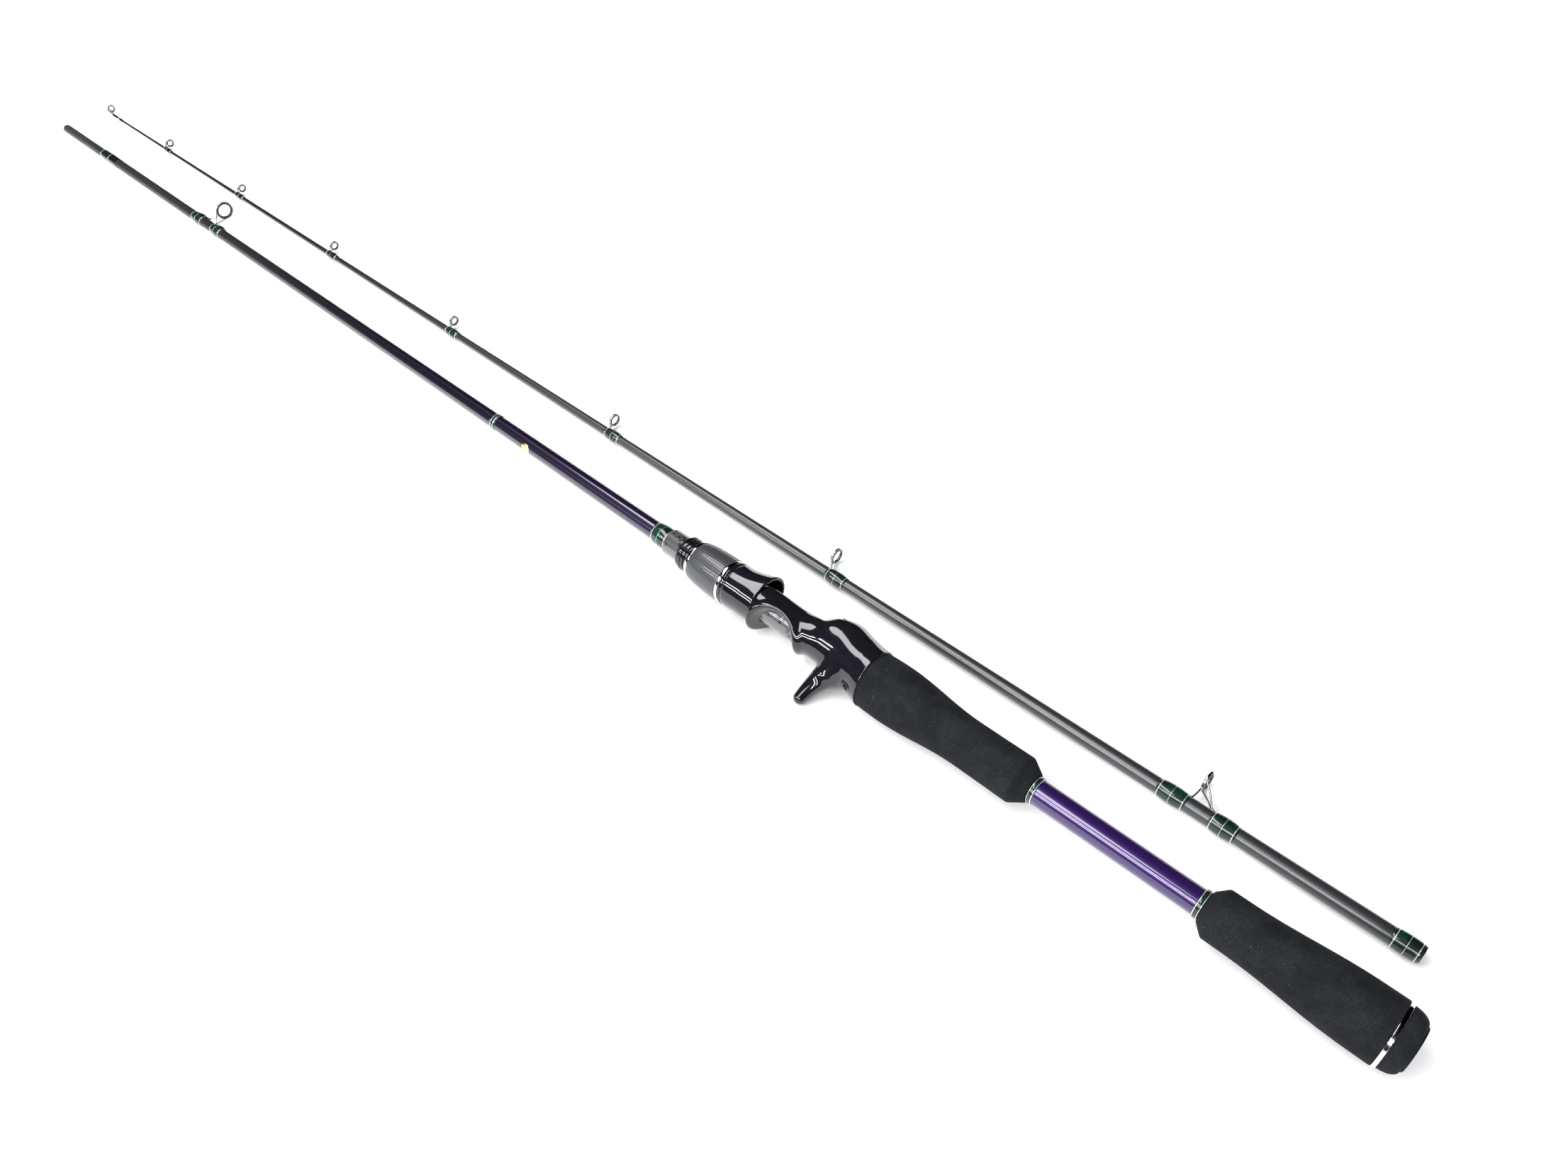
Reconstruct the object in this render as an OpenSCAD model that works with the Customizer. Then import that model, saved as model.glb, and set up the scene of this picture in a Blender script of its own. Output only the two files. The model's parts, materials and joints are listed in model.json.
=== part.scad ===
// Two-piece baitcasting rod, taken apart and laid down as two sections side by side.
// Units are millimetres. Each section is drawn along X with its butt-side end at x = 0,
// its tip towards -X and its guides towards +Y, then rolled and laid on the ground plane.

/* [Blank] */
// Length of the butt section, butt cap to the end of its spigot
butt_len = 1169; // [950:1:1450]
// Length of the tip section's blank, socket end to tip
tip_len = 1177; // [950:1:1450]
// Diameter of the blank under the grips
butt_dia = 12.2; // [10:0.1:15]
// Length of the parallel part of the butt, before the blank starts to taper
butt_parallel = 170; // [150:1:240]
// Diameter of the slim part of the butt section, next to the spigot
neck_dia = 7.3; // [6.6:0.1:9]
// Length of that slim part, spigot included
neck_len = 269; // [260:1:330]
// Wall of the blank
blank_wall = 0.9; // [0.6:0.05:1.4]
// Diameter of the tip section at its socket end
socket_dia = 8.2; // [7.9:0.1:10]
// Diameter of the tip section at its tip
tip_dia = 1.7; // [1.4:0.1:2.6]

/* [Ferrule] */
// Diameter of the spigot
spigot_dia = 6.7; // [5.8:0.05:7.1]
// Length of the spigot that shows past its winding
spigot_len = 73; // [60:1:90]
// Depth of the socket
socket_depth = 76; // [62:1:95]
// Clearance in the socket, on the diameter
spigot_play = 0.05; // [0.02:0.01:0.2]

/* [Grips] */
// Length of the butt cap
cap_len = 8; // [5:0.5:15]
// Thickness of the bright ring behind the rear grip
butt_ring_t = 1.6; // [1:0.1:3]
// Length of the rear grip
rear_grip_len = 76.6; // [60:0.1:110]
// Largest diameter of the rear grip
rear_grip_dia = 28.9; // [26:0.1:34]
// Length of bare blank between the two grips
grip_gap = 77.8; // [50:0.1:100]
// Length of the fore grip, behind the reel seat
fore_grip_len = 91.9; // [80:0.1:120]
// Largest diameter of the fore grip
fore_grip_dia = 29.8; // [28.6:0.1:34]
// Diameter of both grips at their slim ends
grip_slim_dia = 23.4; // [20:0.1:26]
// Length of the thread trim at the end of each grip
trim_len = 3.1; // [2:0.1:5]

/* [Reel seat] */
// Length of the seat body from the fore grip to its front end
seat_len = 131; // [125:1:150]
// How far the carbon pipe shows ahead of the seat body
pipe_show = 11; // [6:1:20]
// Outer diameter of the carbon pipe
pipe_dia = 15.2; // [14.6:0.1:16.4]
// Wall of the carbon pipe
pipe_wall = 1.0; // [0.8:0.1:1.3]
// Crest diameter of the seat's thread
thread_dia = 19; // [18:0.1:20.5]
// Pitch of the thread
thread_pitch = 2.5; // [2:0.1:3.5]
// Outer diameter of the lock nut and the round part of the hood
nut_dia = 24.3; // [23.4:0.1:28]
// Length of the lock nut
nut_len = 26; // [20:0.5:30]
// Length of the sliding hood
hood_len = 22.5; // [18:0.5:26]
// Height of the reel foot deck over the blank's axis
deck_h = 9.3; // [8.8:0.1:10.2]
// Height of the two foot pockets
pocket_h = 6; // [5.8:0.1:6.4]
// Width of the two foot pockets
pocket_w = 15; // [12:0.5:16]
// Reach of the trigger from the blank's axis
trigger_reach = 31.2; // [26:0.1:38]

/* [Guides] */
// Outer diameters of the six single-foot guides, tip end first
ring_dias = [6.9, 6.9, 7.2, 7.5, 8.4, 9.6];
// Heights of their ring centres over the blank's axis
ring_heights = [7.5, 8.1, 8.8, 9.3, 10.8, 13.1];
// Outer diameter of the first guide of the tip section
stripper_dia = 11; // [9:0.1:14]
// Height of that guide's ring centre
stripper_h = 16.85; // [14:0.05:20]
// Outer diameter of the guide on the butt section
butt_guide_dia = 13.4; // [11:0.1:18]
// Height of that guide's ring centre
butt_guide_h = 16.1; // [14:0.1:22]
// Outer diameter of the tip-top's ring
tip_ring_dia = 7.2; // [6:0.1:9]
// Width of a guide frame's rim, seen along the rod
rim_w = 0.75; // [0.5:0.05:1]
// Width of a ceramic ring's wall
ring_wall = 0.85; // [0.6:0.05:1.2]
// Width of the wall of the butt guide's ceramic ring, the sturdiest one
butt_ring_wall = 1.5; // [0.85:0.05:2]

/* [Layout] */
// Distance between the axes of the two sections as they lie
section_gap = 47.4; // [46:0.1:90]
// How far the tip section's socket end lies ahead of the butt cap
section_offset = 13; // [0:1:60]

/* [Hidden] */
$fn = 64;
glue = 0.05;            // glue line between pieces that are bonded, on the radius
play = 0.3;             // running gap on the radius between seat, hood and nut
face = 0.02;            // gap between end faces that meet
thread_w = 0.45;        // width of one wound trim thread
thread_t = 0.12;        // how far a trim thread stands proud
wrap_t = 0.8;           // thickness of a winding over a guide foot
wrap_edge = 0.12;       // thickness of a winding at its ends
foot_t = 0.5;           // thickness of a guide foot
foot_w = 1.3;           // width of a guide foot
wire = 0.5;             // radius of a guide frame's legs

// Stations along the butt section, as distances from the butt cap's end
ring_s = cap_len + butt_ring_t;
rear_s = ring_s + rear_grip_len;
fore_s = rear_s + trim_len + grip_gap + trim_len;
seat_s = fore_s + fore_grip_len;
seat_front = seat_s + seat_len;
pipe_front = seat_front + pipe_show;
front_wrap_len = 12;
band_s = pipe_front + 155;
band_len = 3.6;
sticker_s = pipe_front + 122;
neck_s = butt_len - neck_len;
spigot_s = butt_len - spigot_len;
spigot_root = 45;              // length of the spigot bonded inside the blank
butt_guide_s = butt_len - 251.3;
ferrule_wrap_len = 28;

// The seat: distances from the butt cap's end
shoulder_s = seat_s + 73;      // the hood's stop
hood_s = shoulder_s + play;    // rear end of the hood
nut_s = hood_s + hood_len + play;
hood_travel = seat_front - (nut_s + nut_len);
thread_root_r = thread_dia / 2 - 0.8;
slide_r = thread_dia / 2 + play;
nut_r = nut_dia / 2;
pipe_r = pipe_dia / 2;
pipe_in_r = pipe_r - pipe_wall;
body_r = 11.2;
body_drop = 0.9;
waist_r = 9.2;
fit_r = 14.3;                  // seat's rear end, flush with the fore grip
rear_hood_r = 12.5;
rear_hood_up = 6;
hood_rise = 4.45;
hood_wall = 1.6;
pocket_top = deck_h + pocket_h;
trigger_tip_r = 3;

// How the sections lie
lie_r = fore_grip_dia / 2;
butt_roll = asin((lie_r - trigger_tip_r) / (trigger_reach - trigger_tip_r));
socket_wrap_t = 0.6;
socket_wrap_r = socket_dia / 2 + socket_wrap_t + thread_t + 0.02;
tip_roll = asin(max(0, stripper_dia / 2 - socket_wrap_r) / stripper_h);

// The tip section: distances from its socket end
stripper_s = 105.5;
last_gap = 221;                // from the stripper to the nearest single-foot guide
first_gap = 108.2;             // from the tip-top to the first guide
gap_growth = 14.6;             // what each gap adds to the one before
tip_ring_s = tip_len + 19;
gap_sum = 6 * first_gap + 15 * gap_growth;
gap_scale = (tip_ring_s - stripper_s - last_gap) / gap_sum;
ring_lead = 5.7;               // ring ahead of its winding
single_wrap_len = 12.2;
tip_ring_h = 4.9;
tip_end = tip_ring_s + 0.9;

// Frame: origin under the middle of the bounding box
mid_x = -(section_offset + tip_end) / 2;
low_y = -((trigger_reach - trigger_tip_r) * cos(butt_roll) + trigger_tip_r);
high_y = section_gap + stripper_h * cos(tip_roll) + stripper_dia / 2;
mid_y = (low_y + high_y) / 2;

// Radius of the butt section's blank at a distance from the butt cap's end
function butt_r(s) =
    s <= butt_parallel ? butt_dia / 2 :
    s >= neck_s ? neck_dia / 2 :
    butt_dia / 2 + (neck_dia - butt_dia) / 2 * (s - butt_parallel) / (neck_s - butt_parallel);

// Radius of the tip section's blank at a distance from its socket end
function tip_r(s) = socket_dia / 2 + (tip_dia - socket_dia) / 2 * s / tip_len;

// A smooth step from 0 to 1
function ease(t) = (1 - cos(180 * max(0, min(1, t)))) / 2;

// Radius of a winding: thin at both ends and full between them
function wrap_r(base, full, t) = base + wrap_edge + (full - wrap_edge) * pow(sin(180 * t), 0.6);

// Distance of single-foot guide i's ring from the socket end, guide 0 nearest the tip
function guide_s(i) =
    tip_ring_s - gap_scale * ((i + 1) * first_gap + gap_growth * i * (i + 1) / 2);

// Lay a section down
module lay_butt() {
    translate([-mid_x, -mid_y, lie_r]) rotate([butt_roll, 0, 0]) children();
}
module lay_tip() {
    translate([-mid_x - section_offset, section_gap - mid_y, socket_wrap_r])
        rotate([tip_roll, 0, 0]) children();
}

// A cylinder or cone along the section, from distance s0 to s1
module along(s0, s1, r0, r1) {
    translate([-s0, 0, 0]) rotate([0, -90, 0]) cylinder(h = s1 - s0, r1 = r0, r2 = r1);
}

// A body of revolution about the section's axis from [radius, distance] points
module turned(points) {
    rotate([0, -90, 0]) rotate_extrude() polygon(points);
}

// A round bar between two points
module bar(a, b, r) {
    d = b - a;
    h = norm(d);
    translate(a) rotate([0, acos(d[2] / h), atan2(d[1], d[0])]) cylinder(h = h, r = r, $fn = 24);
}

// A winding from s0 to s1 over a blank whose radii there are b0 and b1
module winding(s0, s1, b0, b1, full) {
    steps = 14;
    turned(concat(
        [[b0 + glue, s0]],
        [for (i = [0:steps]) let (t = i / steps)
            [wrap_r(b0 + (b1 - b0) * t, full, t), s0 + (s1 - s0) * t]],
        [[b1 + glue, s1]]));
}

// One trim thread wound on top of radius r
module trim_thread(s, r) {
    difference() {
        along(s - thread_w / 2, s + thread_w / 2, r + thread_t, r + thread_t);
        along(s - thread_w, s + thread_w, r + 0.01, r + 0.01);
    }
}

// Thread on a winding at share t of its length
module winding_thread(s0, s1, b0, b1, full, t) {
    e = thread_w / (s1 - s0) / 2;
    lo = max(0, t - e);
    hi = min(1, t + e);
    r = max(wrap_r(b0 + (b1 - b0) * lo, full, lo), wrap_r(b0 + (b1 - b0) * t, full, t),
        wrap_r(b0 + (b1 - b0) * hi, full, hi));
    trim_thread(s0 + (s1 - s0) * t, r);
}

// ---- Butt section: blank and spigot ----

module butt_blank() color("indigo") lay_butt() difference() {
    union() {
        along(cap_len / 2, butt_parallel, butt_dia / 2, butt_dia / 2);
        along(butt_parallel, neck_s, butt_dia / 2, neck_dia / 2);
        along(neck_s, spigot_s, neck_dia / 2, neck_dia / 2);
    }
    along(0, butt_parallel, butt_dia / 2 - blank_wall, butt_dia / 2 - blank_wall);
    along(butt_parallel, neck_s, butt_dia / 2 - blank_wall, neck_dia / 2 - blank_wall);
    along(neck_s, butt_len, neck_dia / 2 - blank_wall, neck_dia / 2 - blank_wall);
}

// The spigot: a solid core bonded into the blank, with a rounded end
module spigot_core() color("dimgray") lay_butt() {
    r = spigot_dia / 2;
    root_r = neck_dia / 2 - blank_wall - glue;
    along(spigot_s - spigot_root, spigot_s + 1, root_r, root_r);
    turned(concat([[0, spigot_s + face], [r, spigot_s + face]],
        [for (a = [0:15:90]) [r - 1.6 + 1.6 * cos(a), butt_len - 1.6 + 1.6 * sin(a)]],
        [[0, butt_len]]));
}

module ferrule_winding() color("darkgreen") lay_butt()
    winding(spigot_s - ferrule_wrap_len, spigot_s, neck_dia / 2, neck_dia / 2, 0.45);

module ferrule_silver_threads() color("silver") lay_butt() for (t = [0.46, 0.97])
    winding_thread(spigot_s - ferrule_wrap_len, spigot_s, neck_dia / 2, neck_dia / 2, 0.45, t);

// ---- Butt section: trim and sticker ----

module band_winding() color("darkgreen") lay_butt()
    winding(band_s - band_len / 2, band_s + band_len / 2,
        butt_r(band_s - band_len / 2), butt_r(band_s + band_len / 2), 0.3);

module band_silver_threads() color("silver") lay_butt() for (t = [0.18, 0.82])
    winding_thread(band_s - band_len / 2, band_s + band_len / 2,
        butt_r(band_s - band_len / 2), butt_r(band_s + band_len / 2), 0.3, t);

module gold_sticker() color("goldenrod") lay_butt() {
    r = butt_r(sticker_s - 4) + glue;
    intersection() {
        difference() {
            along(sticker_s - 4, sticker_s + 4, r + 0.15, r + 0.15);
            along(sticker_s - 5, sticker_s + 5, r, r);
        }
        translate([-sticker_s, 0, 0]) rotate([150, 0, 0]) rotate([-90, 0, 0])
            cylinder(h = 12, r = 3.4);
    }
}

module seat_front_winding() color("darkgreen") lay_butt()
    winding(pipe_front + face, pipe_front + front_wrap_len,
        butt_r(pipe_front), butt_r(pipe_front + front_wrap_len), 0.75);

module seat_front_silver_threads() color("silver") lay_butt() for (t = [0.1, 0.94])
    winding_thread(pipe_front + face, pipe_front + front_wrap_len,
        butt_r(pipe_front), butt_r(pipe_front + front_wrap_len), 0.75, t);

module seat_front_teal_thread() color("darkcyan") lay_butt()
    winding_thread(pipe_front + face, pipe_front + front_wrap_len,
        butt_r(pipe_front), butt_r(pipe_front + front_wrap_len), 0.75, 0.5);

// A grip's trim: a short winding with a silver thread at each end
module grip_trim_winding(s) {
    winding(s + face, s + trim_len - face, butt_r(s), butt_r(s), 0.6);
}
module grip_trim_threads(s) {
    for (t = [0.14, 0.86])
        winding_thread(s + face, s + trim_len - face, butt_r(s), butt_r(s), 0.6, t);
}
module fore_trim_winding() color("darkgreen") lay_butt() grip_trim_winding(fore_s - trim_len);
module fore_trim_threads() color("silver") lay_butt() grip_trim_threads(fore_s - trim_len);
module rear_trim_winding() color("darkgreen") lay_butt() grip_trim_winding(rear_s);
module rear_trim_threads() color("silver") lay_butt() grip_trim_threads(rear_s);

// ---- Butt section: grips ----

module rear_grip() color([0.13, 0.14, 0.16]) lay_butt() {
    slim = grip_slim_dia / 2;
    full = rear_grip_dia / 2;
    bore = butt_dia / 2 + glue;
    swell_s = ring_s + 10;
    steps = 24;
    turned(concat(
        [[bore, ring_s + face], [full, ring_s + face]],
        [for (i = [0:steps]) let (t = i / steps)
            [full + (slim - full) * ease(t * 1.02 - 0.02), swell_s + (rear_s - 14 - swell_s) * t]],
        [[slim, rear_s - 5], [slim - 0.4, rear_s - 4.2], [7.4, rear_s - 0.2], [7, rear_s],
            [bore, rear_s]]));
}

module fore_grip() color([0.15, 0.17, 0.18]) lay_butt() {
    slim = grip_slim_dia / 2;
    full = fore_grip_dia / 2;
    back_bore = butt_r(fore_s) + glue;
    front_bore = butt_r(seat_s) + glue;
    peak_s = seat_s - 12;
    steps = 20;
    difference() {
        turned(concat(
            [[0, fore_s + face], [7, fore_s + face], [7.4, fore_s + 0.2], [slim - 0.4, fore_s + 6.2],
                [slim, fore_s + 7]],
            [for (i = [0:steps]) let (t = i / steps)
                [slim - 0.15 + (full - slim + 0.15) * ease(t), peak_s - 44 + 44 * t]],
            [for (a = [15:15:90]) [fit_r + (full - fit_r) * cos(a), peak_s + 12 * sin(a) - face]],
            [[0, seat_s - face]]));
        along(fore_s - 1, butt_parallel, back_bore, butt_dia / 2 + glue);
        along(butt_parallel, seat_s + 1, butt_dia / 2 + glue, front_bore);
    }
}

module butt_ring() color("silver") lay_butt() difference() {
    along(cap_len + face, ring_s, rear_grip_dia / 2 - 0.1, rear_grip_dia / 2 - 0.1);
    along(0, ring_s + 1, butt_dia / 2 + glue, butt_dia / 2 + glue);
}

module butt_cap() color([0.12, 0.12, 0.13]) lay_butt() {
    mouth = rear_grip_dia / 2 - 0.7;
    end_r = 10;
    difference() {
        turned(concat([[0, 0]],
            [for (a = [0:10:90]) [end_r - 0.8 + 0.8 * sin(a), 0.8 - 0.8 * cos(a)]],
            [for (a = [10:10:90]) [end_r + (mouth - end_r) * sin(a), cap_len - 0.4 - (cap_len - 1.2) * cos(a)]],
            [[mouth, cap_len], [0, cap_len]]));
        along(cap_len / 2 - 0.2, cap_len + 1, butt_dia / 2 + glue, butt_dia / 2 + glue);
    }
}

// ---- Reel seat ----

module seat_pipe() color("dimgray") lay_butt() difference() {
    along(seat_s + face, pipe_front, pipe_r, pipe_r);
    along(seat_s - 1, pipe_front + 1, pipe_in_r, pipe_in_r);
}

module seat_arbors() color("tan") lay_butt() for (s = [seat_s + 8, seat_s + 64, pipe_front - 22]) {
    difference() {
        along(s, s + 20, pipe_in_r - glue, pipe_in_r - glue);
        along(s - 1, s + 21, butt_r(s - 1) + glue, butt_r(s + 21) + glue);
    }
}

// The seat's threaded front end, cut short of the shoulder that stops the hood
module seat_thread() {
    start = shoulder_s + hood_len - 9;
    along(shoulder_s - 1, seat_front, thread_root_r, thread_root_r);
    along(shoulder_s - 1, start, thread_dia / 2, thread_dia / 2);
    for (s = [start + thread_pitch : thread_pitch : seat_front - 1])
        turned([[thread_root_r - 0.2, s - 1], [thread_root_r, s - 1], [thread_dia / 2, s - 0.4],
            [thread_dia / 2, s + 0.4], [thread_root_r, s + 1], [thread_root_r - 0.2, s + 1]]);
}

module trigger_knob(s, reach, r) {
    translate([-s, -reach, 0]) sphere(r = r, $fn = 32);
}

module seat_outside() {
    seat_thread();
    // Saddle round the pipe, between the shoulder and the rear hood
    translate([0, -body_drop, 0]) along(shoulder_s - 32, shoulder_s, body_r, body_r);
    // Waist behind the window, growing to the fore grip
    turned([[0, seat_s + face], [fit_r, seat_s + face], [13.2, seat_s + 5], [11.9, seat_s + 10],
        [10.6, seat_s + 18], [waist_r + 0.4, seat_s + 27], [waist_r, seat_s + 36],
        [waist_r + 0.4, seat_s + 44], [0, seat_s + 46]]);
    // Rear hood, ramping down to the deck
    hull() {
        along(seat_s + 47, seat_s + 47.5, 10.3, 10.3);
        translate([0, rear_hood_up, 0]) along(seat_s + 24, seat_s + 28.5, rear_hood_r, rear_hood_r);
        translate([0, 3.6, 0]) along(seat_s + 12, seat_s + 13, 13, 13);
        along(seat_s + face, seat_s + 1, fit_r, fit_r);
    }
    // Trigger
    hull() {
        trigger_knob(seat_s + 26.2, trigger_reach - trigger_tip_r, trigger_tip_r);
        trigger_knob(seat_s + 23.8, trigger_reach - 11, 4.2);
    }
    hull() {
        trigger_knob(seat_s + 23.8, trigger_reach - 11, 4.2);
        trigger_knob(seat_s + 21, 12, 6);
        trigger_knob(seat_s + 21, 6, 7);
    }
}

module reel_seat_body() color([0.07, 0.07, 0.08]) lay_butt() difference() {
    seat_outside();
    // Bore for the pipe
    along(seat_s - 1, seat_front + 1, pipe_r + glue, pipe_r + glue);
    // Deck for the reel foot, and the pocket under the rear hood
    translate([-shoulder_s - 1, deck_h, -pocket_w / 2]) cube([55, pocket_h, pocket_w]);
    translate([-shoulder_s - 1, deck_h, -15]) cube([26, 12, 30]);
    // Open window on the trigger side
    translate([-(seat_s + 57.5), -15.7, -20]) cylinder(h = 40, r = 15.2);
    // Keyway for the hood
    translate([-seat_front - 1, thread_root_r - 0.3, -1.6]) cube([seat_len - 72, 3, 3.2]);
    // Drain hole behind the trigger
    translate([-(seat_s + 7.5), 0, 0]) rotate([156, 0, 0]) rotate([-90, 0, 0])
        cylinder(h = 20, r = 1.3);
}

// ---- Lock nut and sliding hood, which travel on the thread ----

module lock_nut_core() color([0.1, 0.1, 0.11]) lay_butt() difference() {
    turned([[0, nut_s], [nut_r - 1.4, nut_s], [nut_r - 1.4, nut_s + nut_len - 5],
        [nut_r - 2, nut_s + nut_len - 3], [nut_r - 2, nut_s + nut_len], [0, nut_s + nut_len]]);
    along(nut_s - 1, nut_s + nut_len + 1, slide_r, slide_r);
}

module lock_nut_sleeve() color("slategray") lay_butt() difference() {
    turned([[0, nut_s + 1.8 + face], [nut_r - 0.3, nut_s + 1.8 + face], [nut_r, nut_s + 2.4],
        [nut_r, nut_s + nut_len - 6.4], [nut_r - 0.5, nut_s + nut_len - 4.2],
        [nut_r - 1.5, nut_s + nut_len - 1.8 - face], [0, nut_s + nut_len - 1.8 - face]]);
    along(nut_s, nut_s + nut_len - 5 + face, nut_r - 1.4 + glue, nut_r - 1.4 + glue);
    along(nut_s + nut_len - 5 + face, nut_s + nut_len - 3 + face, nut_r - 1.4 + glue, nut_r - 2 + glue);
    along(nut_s + nut_len - 3, nut_s + nut_len, nut_r - 2 + glue, nut_r - 2 + glue);
}

module lock_nut_front_ring() color("silver") lay_butt() difference() {
    along(nut_s + nut_len - 1.8, nut_s + nut_len, nut_r - 1.35, nut_r - 1.55);
    along(nut_s, nut_s + nut_len + 1, nut_r - 2 + glue, nut_r - 2 + glue);
}

module lock_nut_rear_ring() color("silver") lay_butt() difference() {
    along(nut_s, nut_s + 1.8, nut_r - 0.05, nut_r - 0.05);
    along(nut_s - 1, nut_s + 3, nut_r - 1.4 + glue, nut_r - 1.4 + glue);
}

// How far the hood's section is raised towards the foot, d behind its front rim
function hood_up(d) = hood_rise * pow(max(0, 1 - d / 17), 1.5);

// Part of the hood between two depths, as an eccentric round of radius r
module hood_step(d0, d1, r) {
    hull() for (d = [d0, d1])
        translate([0, hood_up(max(0, d)), 0]) along(hood_s + d, hood_s + d + 0.05, r, r, $fn = 48);
}

module sliding_hood() color([0.07, 0.07, 0.08]) lay_butt() difference() {
    union() {
        along(hood_s, hood_s + hood_len - 2.6, nut_r, nut_r);
        along(hood_s + hood_len - 3, hood_s + hood_len - 2, nut_r - 0.4, nut_r - 0.4);
        along(hood_s + hood_len - 2.2, hood_s + hood_len, nut_r, nut_r);
        hood_step(0, 5, nut_r - 0.02);
        hood_step(5, 10, nut_r - 0.02);
        hood_step(10, 17, nut_r - 0.02);
    }
    along(hood_s - 1, hood_s + hood_len + 1, slide_r, slide_r);
    along(hood_s + hood_len - 8, hood_s + hood_len + 1, slide_r + 0.9, slide_r + 0.9);
    // Room for the reel foot
    hood_step(-1, 5, nut_r - hood_wall);
    hood_step(5, 9, nut_r - hood_wall);
}

module hood_liner() color([0.2, 0.2, 0.2]) lay_butt() {
    s0 = hood_s + hood_len - 8 + face;
    difference() {
        along(s0, hood_s + hood_len - face, slide_r + 0.9 - glue, slide_r + 0.9 - glue);
        along(s0 - 1, hood_s + hood_len + 1, slide_r, slide_r);
    }
    // Key that runs in the seat's keyway
    translate([-hood_s - hood_len + face, thread_root_r + 0.1, -1.3])
        cube([8 - 2 * face, slide_r + 0.4 - thread_root_r, 2.6]);
}

// ---- Guides ----

// The frame's rim and the ceramic ring inside it, at the origin with the line along X
module rim(d) {
    rotate([0, -90, 0]) rotate_extrude() translate([d / 2 - rim_w, -0.6]) square([rim_w, 1.2]);
}
module ceramic(d, wall = ring_wall) {
    r1 = d / 2 - rim_w - 0.01;
    r0 = r1 - wall;
    rotate([0, -90, 0]) rotate_extrude() polygon([
        [r0 + 0.25, -0.9], [r1, -0.9], [r1, 0.9], [r0 + 0.25, 0.9], [r0, 0.6], [r0, -0.6]]);
}

// The room that a ceramic ring of a frame of diameter d takes
module ceramic_room(s, d, h) {
    translate([1 - s, h, 0]) rotate([0, -90, 0]) cylinder(h = 2, r = d / 2 - rim_w);
}

// A flat foot on the blank, from s0 to s1, over blank radius r
module foot(s0, s1, r) {
    translate([-s1, r + glue, -foot_w / 2]) cube([s1 - s0, foot_t, foot_w]);
}

// The room for that foot under a winding, open down to the blank
module foot_room(s0, s1, r) {
    translate([-s1 - face, r - 0.3, -foot_w / 2 - face])
        cube([s1 - s0 + 2 * face, 0.3 + glue + foot_t + face, foot_w + 2 * face]);
}

// A double-foot frame: ring at distance s, feet from a0 to a1 on the tip side and b0 to b1
// on the butt side, over blank radii ra and rb
module double_frame(s, d, h, a0, a1, ra, b0, b1, rb) {
    low = ra + glue + foot_t;
    // The two rear legs run up to the ring's rim as tangents
    r = d / 2 - 0.45;
    side_a = acos(r / (h - low));
    foot(a0, a1, ra);
    foot(b0, b1, rb);
    difference() {
        union() {
            translate([-s, h, 0]) rim(d);
            bar([-a0 - 0.8, low - 0.2, 0], [-s, h - d / 2 + 0.3, 0], wire);
            for (side = [-1, 1])
                bar([-b1 + 0.8, rb + glue + foot_t - 0.1, side * 0.35],
                    [-s, h - r * cos(side_a), side * r * sin(side_a)], wire);
        }
        ceramic_room(s, d, h);
    }
}

module single_frame(i) {
    s = guide_s(i);
    d = ring_dias[i];
    h = ring_heights[i];
    w1 = s - ring_lead;
    r = tip_r(w1 - single_wrap_len);
    foot(w1 - single_wrap_len + 2.7, w1 + 0.8, r);
    difference() {
        union() {
            translate([-s, h, 0]) rim(d);
            for (side = [-1, 1])
                bar([-w1 - 0.4, r + glue + foot_t - 0.1, side * 0.35],
                    [-s, h - d * 0.36, side * d * 0.34], wire * 0.9);
        }
        ceramic_room(s, d, h);
    }
}

module butt_guide_frame() color("silver") lay_butt()
    double_frame(butt_guide_s, butt_guide_dia, butt_guide_h,
        butt_guide_s + 4.5, butt_guide_s + 19.5, neck_dia / 2,
        butt_guide_s - 19.5, butt_guide_s - 4.5, neck_dia / 2);

module butt_guide_ring() color([0.12, 0.12, 0.13]) lay_butt()
    translate([-butt_guide_s, butt_guide_h, 0]) ceramic(butt_guide_dia, butt_ring_wall);

// Ends of the butt guide's windings, relative to its ring
butt_guide_wraps = [[-20.5, -7.7], [7.3, 21.3]];

module butt_guide_windings() color("darkgreen") lay_butt() difference() {
    for (w = butt_guide_wraps)
        winding(butt_guide_s + w[0], butt_guide_s + w[1], neck_dia / 2, neck_dia / 2, wrap_t);
    foot_room(butt_guide_s + 4.5, butt_guide_s + 19.5, neck_dia / 2);
    foot_room(butt_guide_s - 19.5, butt_guide_s - 4.5, neck_dia / 2);
}

module butt_guide_threads() color("silver") lay_butt() difference() {
    for (w = butt_guide_wraps, t = [0.05, 0.5, 0.95])
        winding_thread(butt_guide_s + w[0], butt_guide_s + w[1], neck_dia / 2, neck_dia / 2, wrap_t, t);
    foot_room(butt_guide_s + 4.5, butt_guide_s + 19.5, neck_dia / 2);
    foot_room(butt_guide_s - 19.5, butt_guide_s - 4.5, neck_dia / 2);
}

// ---- Tip section ----

module tip_blank() color([0.2, 0.2, 0.21]) lay_tip() difference() {
    along(0, tip_len, socket_dia / 2, tip_dia / 2);
    along(-1, socket_depth, (spigot_dia + spigot_play) / 2, (spigot_dia + spigot_play) / 2);
    along(socket_depth - 0.5, tip_len - 40, tip_r(socket_depth) - 0.7, 0.3);
}

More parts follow.
